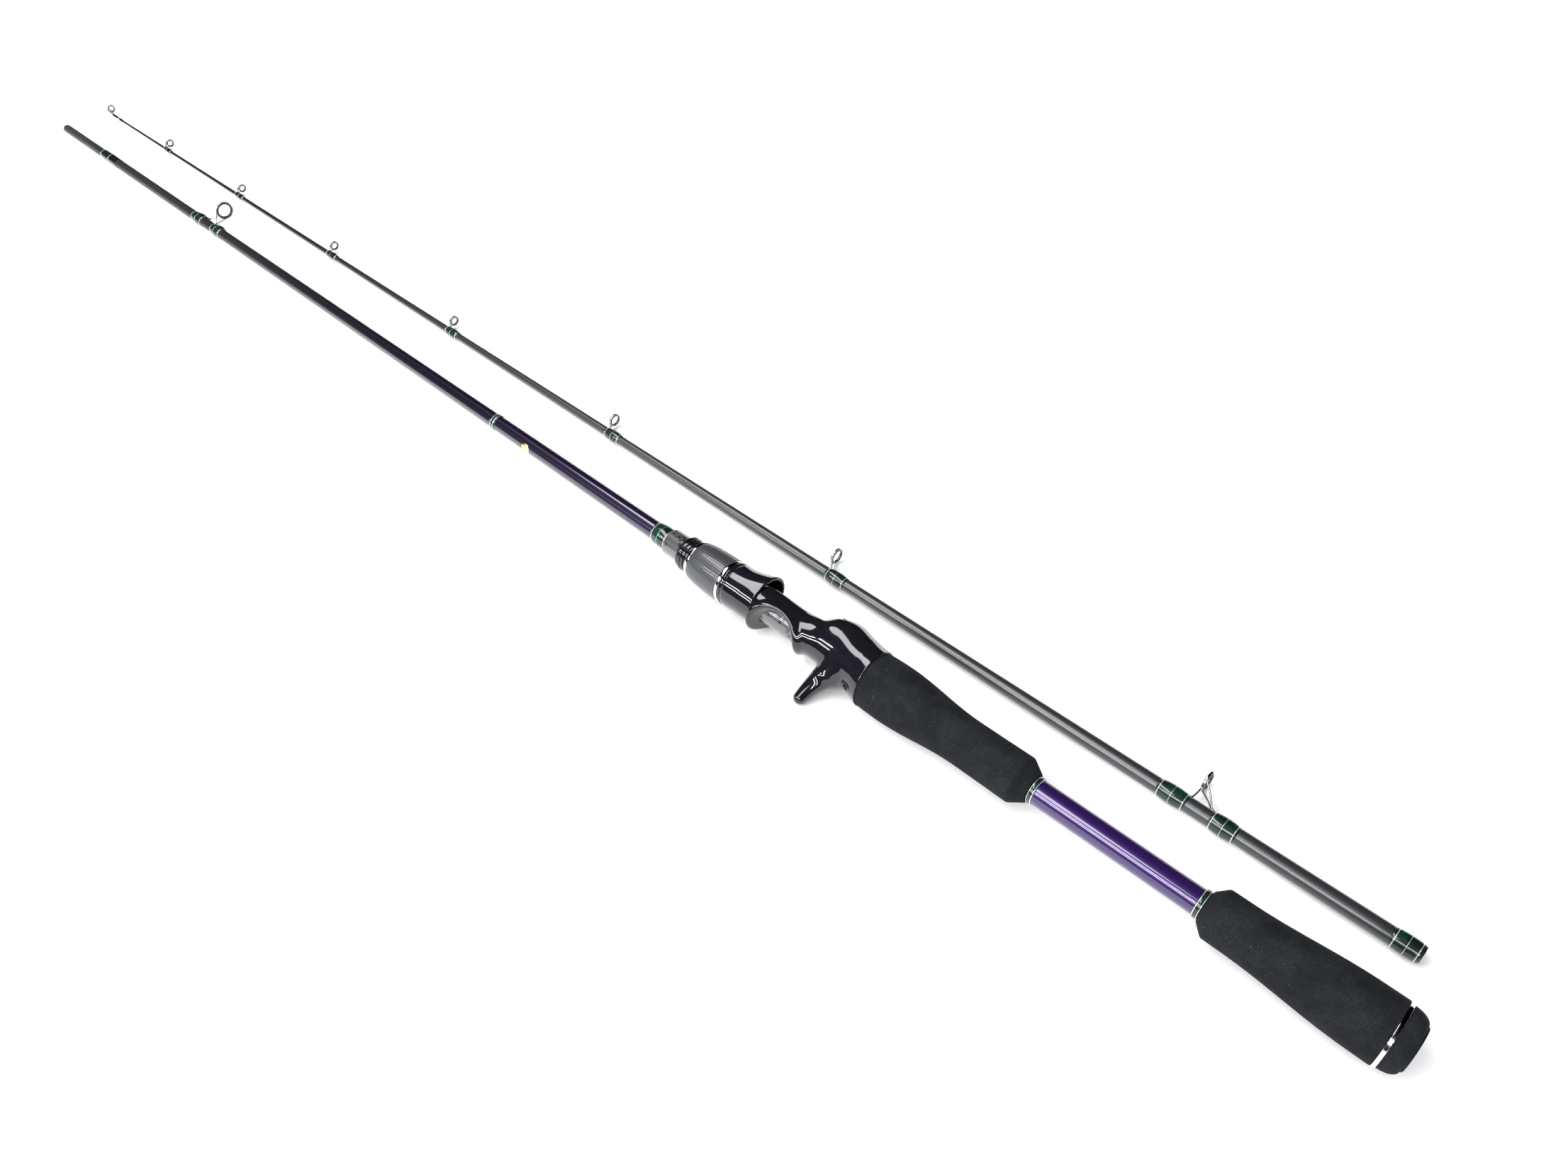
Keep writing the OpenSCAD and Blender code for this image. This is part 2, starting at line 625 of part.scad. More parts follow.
module socket_winding() color("darkgreen") lay_tip()
    winding(0.3, 12.6, tip_r(0.3), tip_r(12.6), socket_wrap_t);
module socket_threads() color("silver") lay_tip() for (t = [0.13, 0.51, 0.92])
    winding_thread(0.3, 12.6, tip_r(0.3), tip_r(12.6), socket_wrap_t, t);

module stripper_frame() color("silver") lay_tip()
    double_frame(stripper_s, stripper_dia, stripper_h,
        stripper_s + 0.6, stripper_s + 13, tip_r(stripper_s + 1),
        stripper_s - 21.8, stripper_s - 9.2, tip_r(stripper_s - 22));

module stripper_ring() color("gray") lay_tip()
    translate([-stripper_s, stripper_h, 0]) ceramic(stripper_dia);

// Ends of the stripper's windings, relative to its ring
stripper_wraps = [[-23.4, -11.6], [1.2, 14.4]];

module stripper_windings() color("darkgreen") lay_tip() difference() {
    for (w = stripper_wraps)
        winding(stripper_s + w[0], stripper_s + w[1],
            tip_r(stripper_s + w[0]), tip_r(stripper_s + w[1]), wrap_t);
    foot_room(stripper_s + 0.6, stripper_s + 13, tip_r(stripper_s + 1));
    foot_room(stripper_s - 21.8, stripper_s - 9.2, tip_r(stripper_s - 22));
}

module stripper_threads() color("silver") lay_tip() difference() {
    for (w = stripper_wraps, t = [0.04, 0.5, 0.96])
        winding_thread(stripper_s + w[0], stripper_s + w[1],
            tip_r(stripper_s + w[0]), tip_r(stripper_s + w[1]), wrap_t, t);
    foot_room(stripper_s + 0.6, stripper_s + 13, tip_r(stripper_s + 1));
    foot_room(stripper_s - 21.8, stripper_s - 9.2, tip_r(stripper_s - 22));
}

module guide_frame(i) color("silver") lay_tip() single_frame(i);

module guide_ring(i) color("gray") lay_tip()
    translate([-guide_s(i), ring_heights[i], 0]) ceramic(ring_dias[i]);

module guide_winding(i) color("darkgreen") lay_tip() {
    w1 = guide_s(i) - ring_lead;
    w0 = w1 - single_wrap_len;
    difference() {
        winding(w0, w1, tip_r(w0), tip_r(w1), wrap_t);
        foot_room(w0 + 2.7, w1 + 0.8, tip_r(w0));
    }
}

module guide_threads() color("silver") lay_tip() for (i = [0:5], t = [0.05, 0.5, 0.95]) {
    w1 = guide_s(i) - ring_lead;
    w0 = w1 - single_wrap_len;
    difference() {
        winding_thread(w0, w1, tip_r(w0), tip_r(w1), wrap_t, t);
        foot_room(w0 + 2.7, w1 + 0.8, tip_r(w0));
    }
}

module tip_top_frame() color("wheat") lay_tip() {
    tube_r = tip_dia / 2 + 0.45;
    difference() {
        along(tip_len - 8, tip_len + 4, tube_r, tube_r);
        along(tip_len - 9, tip_len + 0.5, tip_r(tip_len - 9) + glue, tip_dia / 2 + glue);
    }
    difference() {
        union() {
            translate([-tip_ring_s, tip_ring_h, 0]) rim(tip_ring_dia);
            bar([-tip_len - 3, 0, 0], [-tip_ring_s, tip_ring_h - tip_ring_dia / 2 + 0.4, 0], 0.6);
            for (side = [-1, 1])
                bar([-tip_len - 2, 0, side * 0.6],
                    [-tip_ring_s, tip_ring_h, side * (tip_ring_dia / 2 - 0.35)], wire);
        }
        ceramic_room(tip_ring_s, tip_ring_dia, tip_ring_h);
    }
}

module tip_top_ring() color("gray") lay_tip()
    translate([-tip_ring_s, tip_ring_h, 0]) ceramic(tip_ring_dia);

module tip_top_winding() color("darkgreen") lay_tip()
    winding(tip_len - 16, tip_len - 8 - face, tip_r(tip_len - 16), tip_r(tip_len - 8), 0.4);

butt_blank();
spigot_core();
ferrule_winding();
ferrule_silver_threads();
butt_guide_frame();
butt_guide_ring();
butt_guide_windings();
butt_guide_threads();
band_winding();
band_silver_threads();
gold_sticker();
seat_front_winding();
seat_front_silver_threads();
seat_front_teal_thread();
seat_pipe();
seat_arbors();
reel_seat_body();
lock_nut_core();
lock_nut_sleeve();
lock_nut_front_ring();
lock_nut_rear_ring();
sliding_hood();
hood_liner();
fore_grip();
fore_trim_winding();
fore_trim_threads();
rear_trim_winding();
rear_trim_threads();
rear_grip();
butt_ring();
butt_cap();
tip_blank();
socket_winding();
socket_threads();
stripper_frame();
stripper_ring();
stripper_windings();
stripper_threads();
guide_frame(0);  // guide_1_frame
guide_frame(1);  // guide_2_frame
guide_frame(2);  // guide_3_frame
guide_frame(3);  // guide_4_frame
guide_frame(4);  // guide_5_frame
guide_frame(5);  // guide_6_frame
guide_ring(0);  // guide_1_ring
guide_ring(1);  // guide_2_ring
guide_ring(2);  // guide_3_ring
guide_ring(3);  // guide_4_ring
guide_ring(4);  // guide_5_ring
guide_ring(5);  // guide_6_ring
guide_winding(0);  // guide_1_winding
guide_winding(1);  // guide_2_winding
guide_winding(2);  // guide_3_winding
guide_winding(3);  // guide_4_winding
guide_winding(4);  // guide_5_winding
guide_winding(5);  // guide_6_winding
guide_threads();
tip_top_frame();
tip_top_ring();
tip_top_winding();
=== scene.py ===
import json
import math
import bmesh
import bpy
import numpy as np
from mathutils import Matrix, Vector


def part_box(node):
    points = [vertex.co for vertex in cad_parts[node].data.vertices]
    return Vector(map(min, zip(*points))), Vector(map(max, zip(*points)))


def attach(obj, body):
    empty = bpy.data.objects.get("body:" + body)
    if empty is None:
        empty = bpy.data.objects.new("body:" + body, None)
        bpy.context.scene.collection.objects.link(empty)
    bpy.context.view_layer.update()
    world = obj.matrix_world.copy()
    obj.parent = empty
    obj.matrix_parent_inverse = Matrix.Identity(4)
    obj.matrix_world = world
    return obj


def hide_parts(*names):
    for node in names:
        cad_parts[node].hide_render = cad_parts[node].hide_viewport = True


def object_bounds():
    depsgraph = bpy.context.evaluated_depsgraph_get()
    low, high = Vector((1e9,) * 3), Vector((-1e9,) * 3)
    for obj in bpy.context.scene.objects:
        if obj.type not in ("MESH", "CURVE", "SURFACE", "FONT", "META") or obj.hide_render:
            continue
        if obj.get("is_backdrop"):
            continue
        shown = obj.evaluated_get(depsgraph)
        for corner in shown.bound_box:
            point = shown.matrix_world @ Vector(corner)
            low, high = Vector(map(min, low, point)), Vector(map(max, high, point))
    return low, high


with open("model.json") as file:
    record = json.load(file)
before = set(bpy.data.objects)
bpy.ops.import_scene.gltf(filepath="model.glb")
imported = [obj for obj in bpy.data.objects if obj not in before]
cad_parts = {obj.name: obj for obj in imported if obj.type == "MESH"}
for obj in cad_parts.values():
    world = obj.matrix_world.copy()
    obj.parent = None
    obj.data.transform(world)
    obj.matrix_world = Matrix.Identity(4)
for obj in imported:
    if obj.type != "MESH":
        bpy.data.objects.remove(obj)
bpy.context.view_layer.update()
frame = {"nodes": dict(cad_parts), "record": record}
record = frame["record"]
print("frame loaded:", len(frame["nodes"]), "nodes")

# where the two sections lie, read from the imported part

quarterTurn = math.pi / 2
mountAt = {m["name"]: Vector(m["pos_m"]) for m in record["mounts"]}


def sectionFrom(endNode, axisMount, ringMount):
    # end: x of the butt-side end; y, z: the axis; roll: turn of the guides from +Y
    axis, ring = mountAt[axisMount], mountAt[ringMount]
    return {"end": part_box(endNode)[1].x, "y": axis.y, "z": axis.z,
            "roll": math.atan2(ring.z - axis.z, ring.y - axis.y)}


buttRod = sectionFrom("butt_cap", "spigot", "line_ring_butt")
tipRod = sectionFrom("tip_blank", "ferrule_socket", "line_ring_stripper")


def place(rod, s, up, side):
    # mm along the rod, towards the guides and sideways, to metres in the row frame
    c, d = math.cos(rod["roll"]), math.sin(rod["roll"])
    s, up, side = np.broadcast_arrays(*[np.asarray(v, float) for v in (s, up, side)])
    return np.stack([rod["end"] - s / 1e3, rod["y"] + (up * c - side * d) / 1e3,
                     rod["z"] + (up * d + side * c) / 1e3], -1)


# meshes from arrays

def gridFaces(rows, cols, wrapRows, wrapCols):
    # quads between neighbours of a rows x cols grid, joined round where it wraps
    i = np.arange(rows if wrapRows else rows - 1)
    j = np.arange(cols if wrapCols else cols - 1)
    i, j = [a.ravel() for a in np.meshgrid(i, j, indexing="ij")]
    ii, jj = (i + 1) % rows, (j + 1) % cols
    return np.stack([i * cols + j, i * cols + jj, ii * cols + jj, ii * cols + j], -1)


def makePiece(name, parts, finish, body, nodes=()):
    # one mesh from several (points, quads) pairs; points that coincide, as at a pole, are merged
    points, quads, base = [], [], 0
    for p, q in parts:
        p = p.reshape(-1, 3)
        points.append(p)
        quads.append(q + base)
        base += len(p)
    points, quads = np.concatenate(points), np.concatenate(quads)
    mesh = bpy.data.meshes.new(name)
    mesh.vertices.add(len(points))
    mesh.vertices.foreach_set("co", points.astype(np.float32).ravel())
    mesh.loops.add(quads.size)
    mesh.loops.foreach_set("vertex_index", quads.astype(np.int32).ravel())
    mesh.polygons.add(len(quads))
    mesh.polygons.foreach_set("loop_start", np.arange(0, quads.size, 4, dtype=np.int32))
    mesh.polygons.foreach_set("use_smooth", np.ones(len(quads), bool))
    mesh.update(calc_edges=True)
    merged = bmesh.new()
    merged.from_mesh(mesh)
    bmesh.ops.remove_doubles(merged, verts=merged.verts, dist=1e-6)
    bmesh.ops.dissolve_degenerate(merged, edges=merged.edges, dist=1e-6)
    merged.to_mesh(mesh)
    merged.free()
    piece = bpy.data.objects.new(name, mesh)
    bpy.context.scene.collection.objects.link(piece)
    mesh.materials.append(finish)
    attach(piece, body)
    if nodes:
        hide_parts(*nodes)
    return piece


def turned(rod, profile, around=64, swell=None):
    # a closed skin: each (station, radius) point of the profile swept round the rod's axis;
    # swell(s, angle) adds to the radius. A profile that stays off the axis closes on itself.
    profile = np.asarray(profile, float)
    s, r = profile[:, :1], profile[:, 1:]
    angle = np.arange(around) * 2 * np.pi / around
    r = r + (swell(s, angle) if swell else 0)
    p = place(rod, s + 0 * angle, r * np.cos(angle), r * np.sin(angle))
    hollow = profile[0, 1] > 0 and profile[-1, 1] > 0
    return p, gridFaces(len(profile), around, hollow, True)[:, ::-1]


def softened(points, radius=0.25, steps=4):
    # a profile whose corners are rounded: each corner becomes a short curve between two points
    points = np.asarray(points, float)
    a, b, c = points[:-2], points[1:-1], points[2:]
    ab, cb = a - b, c - b
    la, lc = [np.linalg.norm(v, axis=1, keepdims=True) + 1e-9 for v in (ab, cb)]
    cut = np.minimum(radius, 0.45 * np.minimum(la, lc))
    p, q = b + ab / la * cut, b + cb / lc * cut
    t = np.linspace(0, 1, steps)[None, :, None]
    curve = (1 - t) ** 2 * p[:, None] + 2 * t * (1 - t) * b[:, None] + t ** 2 * q[:, None]
    return np.concatenate([points[:1], curve.reshape(-1, 2), points[-1:]])


def smoothCurve(x, xs, ys):
    # a curve through (xs, ys) that never overshoots: cubic pieces with harmonic-mean slopes
    xs, ys = np.asarray(xs, float), np.asarray(ys, float)
    h, d = np.diff(xs), np.diff(ys) / np.diff(xs)
    with np.errstate(divide="ignore", invalid="ignore"):
        inner = np.where(d[:-1] * d[1:] > 0, 2 * d[:-1] * d[1:] / (d[:-1] + d[1:]), 0)
    m = np.concatenate([[d[0]], inner, [d[-1]]])
    k = np.clip(np.searchsorted(xs, x) - 1, 0, len(h) - 1)
    t = np.clip((x - xs[k]) / h[k], 0, 1)
    return ((2 * t ** 3 - 3 * t ** 2 + 1) * ys[k] + (t ** 3 - 2 * t ** 2 + t) * h[k] * m[k]
            + (3 * t ** 2 - 2 * t ** 3) * ys[k + 1] + (t ** 3 - t ** 2) * h[k] * m[k + 1])


def tube(rod, path, radii, flat=1.0, sides=14, count=40):
    # a wire: a round section, squeezed by flat towards the blank, carried along a smooth
    # path of (station, up, side) points, and closed at both ends by shrinking to nothing
    path = np.asarray(path, float)
    knots = np.linspace(0, 1, len(path))
    t = np.linspace(0, 1, count)
    line = np.stack([smoothCurve(t, knots, path[:, k]) for k in range(3)], -1)
    r = np.interp(t, np.linspace(0, 1, len(radii)), radii)
    r = np.concatenate([[0, 0.75 * r[0]], r, [0.75 * r[-1], 0]])
    tangent = np.gradient(line, axis=0)
    tangent /= np.linalg.norm(tangent, axis=1, keepdims=True)
    ends = [line[:1] - tangent[:1] * r[2] * 0.8, line[:1] - tangent[:1] * r[2] * 0.5]
    tails = [line[-1:] + tangent[-1:] * r[-3] * 0.5, line[-1:] + tangent[-1:] * r[-3] * 0.8]
    line = np.concatenate([*ends, line, *tails])
    tangent = np.concatenate([tangent[:1], tangent[:1], tangent, tangent[-1:], tangent[-1:]])
    across = np.cross(tangent, [[0, 1, 0]])
    across[np.linalg.norm(across, axis=1) < 0.2] = [0, 0, 1]
    across /= np.linalg.norm(across, axis=1, keepdims=True)
    out = np.cross(across, tangent)
    a = np.arange(sides) * 2 * np.pi / sides
    ring = (line[:, None] + r[:, None, None] * (np.cos(a)[None, :, None] * across[:, None]
            + flat * np.sin(a)[None, :, None] * out[:, None]))
    q = gridFaces(len(line), sides, False, True)
    return place(rod, ring[..., 0], ring[..., 1], ring[..., 2]), q


def hoop(rod, s, up, profile, around=72):
    # a ring round an axis parallel to the rod: a closed (offset, radius) profile swept round
    profile = np.asarray(profile, float)
    a = np.arange(around) * 2 * np.pi / around
    o, r = profile[:, :1], profile[:, 1:]
    p = place(rod, s + o + 0 * a, up + r * np.cos(a), r * np.sin(a))
    return p, gridFaces(len(profile), around, True, True)


def ovalLoop(width, height, centre, power=2.6, count=20):
    # a closed rounded-rectangle loop of (offset, radius) points round a mean radius
    a = np.arange(count) * 2 * np.pi / count
    c, d = np.cos(a), np.sin(a)
    return np.stack([width / 2 * np.sign(c) * abs(c) ** (2 / power),
                     centre + height / 2 * np.sign(d) * abs(d) ** (2 / power)], -1)


# smooth solids from a distance field

def joined(a, b, k):
    # the nearer of two fields, with a fillet of size k where they meet
    h = np.clip(0.5 + 0.5 * (b - a) / k, 0, 1)
    return b * (1 - h) + a * h - k * h * (1 - h)


def carved(a, b, k):
    # field a with field b taken away, with edges rounded to size k
    return -joined(-a, b, k)


def netFrom(field, low, high, step):
    # one vertex in each grid cell that the surface crosses, at the mean of its edge
    # crossings; one quad for each crossed grid edge; then each vertex is moved along the
    # field's gradient until the field is zero there
    axes = [np.arange(l, h + step, step) for l, h in zip(low, high)]
    f = field(*np.meshgrid(*axes, indexing="ij", sparse=True))
    cells = tuple(n - 1 for n in f.shape)
    total, count, crossed = np.zeros(cells + (3,)), np.zeros(cells), []
    for axis in range(3):
        lo = np.take(f, range(f.shape[axis] - 1), axis)
        hi = np.take(f, range(1, f.shape[axis]), axis)
        hit = (lo < 0) != (hi < 0)
        at = np.argwhere(hit)
        t = lo[hit] / (lo[hit] - hi[hit])
        point = np.stack([axes[k][at[:, k]] for k in range(3)], -1)
        point[:, axis] += t * step
        crossed.append((axis, at, lo[hit] < 0))
        others = [k for k in range(3) if k != axis]
        for da in (0, 1):
            for db in (0, 1):
                cell = at.copy()
                cell[:, others[0]] -= da
                cell[:, others[1]] -= db
                ok = (cell >= 0).all(1) & (cell < cells).all(1)
                np.add.at(total, tuple(cell[ok].T), point[ok])
                np.add.at(count, tuple(cell[ok].T), 1)
    used = count > 0
    index = np.full(cells, -1)
    index[used] = np.arange(used.sum())
    points = total[used] / count[used][:, None]
    quads = []
    for axis, at, outward in crossed:
        a, b = (axis + 1) % 3, (axis + 2) % 3
        corner = []
        for da, db in ((1, 1), (0, 1), (0, 0), (1, 0)):
            cell = at.copy()
            cell[:, a] -= da
            cell[:, b] -= db
            corner.append(index[tuple(np.clip(cell, 0, np.array(cells) - 1).T)])
        q = np.stack(corner, -1)
        quads.append(np.where(outward[:, None], q, q[:, ::-1]))
    quads = np.concatenate(quads)
    e = 0.02
    for _ in range(4):
        x, y, z = points.T
        value = field(x, y, z)
        slope = np.stack([field(x + e, y, z) - field(x - e, y, z),
                          field(x, y + e, z) - field(x, y - e, z),
                          field(x, y, z + e) - field(x, y, z - e)], -1) / (2 * e)
        move = value[:, None] * slope / np.maximum((slope ** 2).sum(1, keepdims=True), 0.2)
        points = points - np.clip(move, -step / 2, step / 2)
    return points, quads


# materials

class Wire:
    # a shader socket that Python's operators work on
    def __init__(self, finish, socket):
        self.finish, self.socket = finish, socket

    def to(self, operation, *others):
        return self.finish.math(operation, self, *others)

    def __add__(self, other):
        return self.to("ADD", other)

    def __radd__(self, other):
        return self.to("ADD", other)

    def __sub__(self, other):
        return self.to("SUBTRACT", other)

    def __rsub__(self, other):
        return self.finish.math("SUBTRACT", other, self)

    def __mul__(self, other):
        return self.to("MULTIPLY", other)

    def __rmul__(self, other):
        return self.to("MULTIPLY", other)

    def __truediv__(self, other):
        return self.to("DIVIDE", other)

    def __rtruediv__(self, other):
        return self.finish.math("DIVIDE", other, self)

    def __pow__(self, other):
        return self.to("POWER", other)


class Finish:
    # a material: one Principled shader, and the nodes that feed it
    def __init__(self, name, **constants):
        self.material = bpy.data.materials.new(name)
        self.material.use_nodes = True
        self.tree = self.material.node_tree
        self.shader = next(n for n in self.tree.nodes if n.type == "BSDF_PRINCIPLED")
        self.put(**constants)

    def put(self, **values):
        for key, value in values.items():
            self.feed(self.shader.inputs[labels[key]], value)
        return self

    def feed(self, socket, value):
        if isinstance(value, Wire):
            self.tree.links.new(value.socket, socket)
        elif isinstance(value, (tuple, list)) and socket.type == "RGBA":
            socket.default_value = (*value, 1)[:4]
        else:
            socket.default_value = value

    def add(self, kind, settings=None, values=None, out=0):
        node = self.tree.nodes.new(kind)
        for key, value in (settings or {}).items():
            if key == "stops":
                ramp = node.color_ramp
                while len(ramp.elements) < len(value):
                    ramp.elements.new(1)
                for element, (at, colour) in zip(ramp.elements, value):
                    element.position, element.color = at, (*colour, 1)
            else:
                setattr(node, key, value)
        for key, value in (values or {}).items():
            self.feed(node.inputs[key], value)
        return Wire(self, node.outputs[out])

    def math(self, operation, *values):
        return self.add("ShaderNodeMath", {"operation": operation}, dict(enumerate(values)))

    def mixed(self, share, a, b):
        return self.add("ShaderNodeMix", {"data_type": "RGBA"}, {0: share, 6: a, 7: b}, 2)

    def step(self, value, low, high):
        # 0 below low, 1 above high, smooth between them
        return self.add("ShaderNodeMapRange", {"interpolation_type": "SMOOTHSTEP"},
                        {0: value, 1: low, 2: high, 3: 0.0, 4: 1.0})

    def noise(self, scale, detail=2.0, rough=0.5):
        spot = self.add("ShaderNodeTexCoord", out=3)
        return self.add("ShaderNodeTexNoise", None,
                        {"Vector": spot, "Scale": scale, "Detail": detail, "Roughness": rough})

    def bump(self, height, depth, strength=1.0):
        self.put(normal=self.add("ShaderNodeBump", None,
                                 {"Height": height, "Distance": depth, "Strength": strength}))

    def along(self, rod):
        # station in mm, and angle round the rod in radians from the guides' side
        spot = self.add("ShaderNodeTexCoord", out=3)
        split = self.add("ShaderNodeSeparateXYZ", None, {0: spot})
        x, y, z = [Wire(self, split.socket.node.outputs[k]) for k in range(3)]
        c, d = math.cos(rod["roll"]), math.sin(rod["roll"])
        up = (y - rod["y"]) * c + (z - rod["z"]) * d
        side = (z - rod["z"]) * c - (y - rod["y"]) * d
        return (rod["end"] - x) * 1000.0, self.math("ARCTAN2", side, up)


labels = {"colour": "Base Color", "rough": "Roughness", "metal": "Metallic", "coat": "Coat Weight",
          "coatRough": "Coat Roughness", "coatIor": "Coat IOR", "normal": "Normal",
          "specular": "Specular IOR Level"}
finishes = {}

# sizes of the two blanks, in mm
blank = {"start": 4.0, "buttRadius": 6.1, "parallelTo": 170.0, "neckAt": 900.0, "neckRadius": 3.65,
         "spigotAt": 1096.0, "spigotRadius": 3.35, "spigotRound": 0.9, "domeLength": 2.0, "end": 1169.0,
         "socketRadius": 4.1, "socketBore": 3.375, "socketDepth": 76.0,
         "tipRadius": 0.85, "tipLength": 1177.0}

# spacing of the tape ridges on a blank, and of the thread in a winding, in mm
tapePitch, threadPitch = 0.92, 0.21


def purpleBlank():
    # candy purple: deep violet at the handle, darkening forward to a satin charcoal as the
    # clear coat thins out; spiral tape ridges of 0.92 mm pitch tint and lift it a little
    f = Finish("purpleBlank", coatRough=0.03, coatIor=1.6)
    s, angle = f.along(buttRod)
    ridge = f.math("SINE", (s / tapePitch + angle / (2 * math.pi)) * (2 * math.pi))
    tint = f.add("ShaderNodeValToRGB", {"stops": [
        (0.0, (0.032, 0.0085, 0.108)), (0.15, (0.032, 0.0085, 0.108)), (0.3, (0.021, 0.008, 0.06)),
        (0.38, (0.014, 0.006, 0.036)), (0.5, (0.009, 0.005, 0.021)), (0.64, (0.007, 0.005, 0.013)),
        (0.78, (0.016, 0.015, 0.018)), (0.9, (0.026, 0.026, 0.028)), (1.0, (0.045, 0.046, 0.048))]},
        {0: s / blank["end"]})
    cloudy = f.noise(240.0, 3.0)
    f.put(colour=f.mixed(0.16 + ridge * 0.06 + (cloudy - 0.5) * 0.12, tint, (0.0, 0.0, 0.0)),
          metal=0.42 - f.step(s, 500.0, 900.0) * 0.25,
          rough=0.3 + f.step(s, 560.0, 960.0) * 0.2 + ridge * 0.02,
          coat=1.0 - f.step(s, 560.0, 940.0) * 0.85 - f.step(s, 1094.0, 1097.0) * 0.15)
    f.bump(ridge, 0.00001, 0.35)
    return f.material


def carbonBlank():
    # unsanded carbon: satin charcoal with spiral tape ridges of 0.92 mm pitch, browner and
    # darker towards the tip
    f = Finish("carbonBlank", specular=1.0, coat=0.4, coatRough=0.24, coatIor=1.5)
    s, angle = f.along(tipRod)
    ridge = f.math("SINE", (s / tapePitch + angle / (2 * math.pi)) * (2 * math.pi))
    streak = f.noise(90.0, 4.0, 0.7)
    tint = f.add("ShaderNodeValToRGB", {"stops": [
        (0.0, (0.03, 0.032, 0.036)), (0.4, (0.03, 0.032, 0.033)), (0.8, (0.017, 0.014, 0.014)),
        (1.0, (0.014, 0.009, 0.009))]}, {0: s / blank["tipLength"]})
    f.put(colour=f.mixed(0.2 - ridge * 0.14 + (streak - 0.5) * 0.3, tint, (0.006, 0.006, 0.007)),
          rough=0.34 - ridge * 0.05, metal=0.25)
    f.bump(ridge, 0.000014, 0.6)
    return f.material


def greenWinding(name, rod):
    # dark green thread, one ridge each 0.21 mm, under a thick clear epoxy; it turns almost
    # black in the run-out behind the ferrule winding and on the guides nearest the tip
    f = Finish(name, coat=1.0, coatRough=0.02, coatIor=1.55, rough=0.45, specular=0.2)
    s, angle = f.along(rod)
    strand = f.math("SINE", s * (2 * math.pi / threadPitch))
    patch = f.noise(160.0, 2.0)
    green = f.mixed(f.step(patch + strand * 0.1, 0.35, 0.75),
                    (0.0012, 0.009, 0.0055), (0.0025, 0.027, 0.016))
    if rod is buttRod:
        black = f.step(s, 1060.0, 1070.0) * (1 - f.step(s, 1079.0, 1082.0))
    else:
        black = f.step(s, 620.0, 900.0) * 0.8
    f.put(colour=f.mixed(black, green, (0.004, 0.004, 0.004)))
    f.bump(strand, 0.00002, 0.5)
    return f.material


def metalThread(name, colour, rough=0.28):
    # bright thread seen through epoxy, uneven along its length
    f = Finish(name, metal=0.75, coat=1.0, coatRough=0.03)
    glint = f.noise(900.0, 1.0)
    f.put(colour=f.mixed(f.step(glint, 0.3, 0.7), tuple(c * 0.7 for c in colour), colour),
          rough=rough + (glint - 0.5) * 0.2)
    return f.material


def steel(name, colour, rough):
    # polished wire: bright, with faint drawing marks in its roughness
    f = Finish(name, metal=1.0)
    mark = f.noise(700.0, 3.0, 0.6)
    f.put(colour=f.mixed(mark, colour, tuple(c * 0.85 for c in colour)),
          rough=rough + (mark - 0.5) * 0.08)
    return f.material


def ceramicGloss(name, colour):
    # polished ceramic: dark and glassy, with a slight cloud
    f = Finish(name, coat=0.6, coatRough=0.02, rough=0.14)
    cloud = f.noise(500.0, 2.0)
    f.put(colour=f.mixed(cloud, colour, tuple(c * 1.6 for c in colour)), metal=0.2)
    return f.material


def weave(name, rod, radius, cell, light, dark, twisted, coat, patchy):
    # carbon cloth: cells of cell mm in station and round the rod; the two thread directions
    # alternate like a chequer, each catching the light in its own way. A patchy cloth shows
    # its dark cells only where a coarse noise is high
    f = Finish(name, coat=coat, coatRough=0.04, metal=0.35)
    s, angle = f.along(rod)
    a, b = s / cell, angle * radius / cell
    if twisted:
        a, b = (a + b) * 0.7071, (a - b) * 0.7071  # turned by 45 degrees
    wave = f.math("SINE", a * math.pi) * f.math("SINE", b * math.pi)
    warp = f.step(wave, -0.12, 0.12)
    strand = f.math("SINE", a * 26.0) * warp + f.math("SINE", b * 26.0) * (1 - warp)
    depth = f.math("ABSOLUTE", wave)
    if patchy:
        warp = 1 - (1 - warp) * f.step(f.noise(130.0, 1.0), 0.5, 0.6)
    f.put(colour=f.mixed(warp * 0.9 + strand * 0.04, dark, light), rough=0.42 - warp * 0.14)
    f.bump(depth ** 0.5, 0.00001 if patchy else 0.00005, 0.6)
    return f.material


def glossBlack():
    # piano black lacquer: almost no colour of its own, with a trace of orange peel
    f = Finish("glossBlack", coat=1.0, coatRough=0.015, specular=0.15)
    peel = f.noise(260.0, 1.0)
    f.put(rough=0.1 + peel * 0.05,
          colour=f.mixed(peel, (0.005, 0.005, 0.007), (0.009, 0.008, 0.012)))
    f.bump(peel, 0.00001, 0.12)
    return f.material


def blackNylon():
    # moulded black plastic with a fine grain
    f = Finish("blackNylon", rough=0.5)
    grain = f.noise(1500.0, 2.0)
    f.put(colour=f.mixed(grain, (0.008, 0.008, 0.009), (0.018, 0.018, 0.02)), rough=0.42 + grain * 0.2)
    f.bump(grain, 0.00002, 0.3)
    return f.material


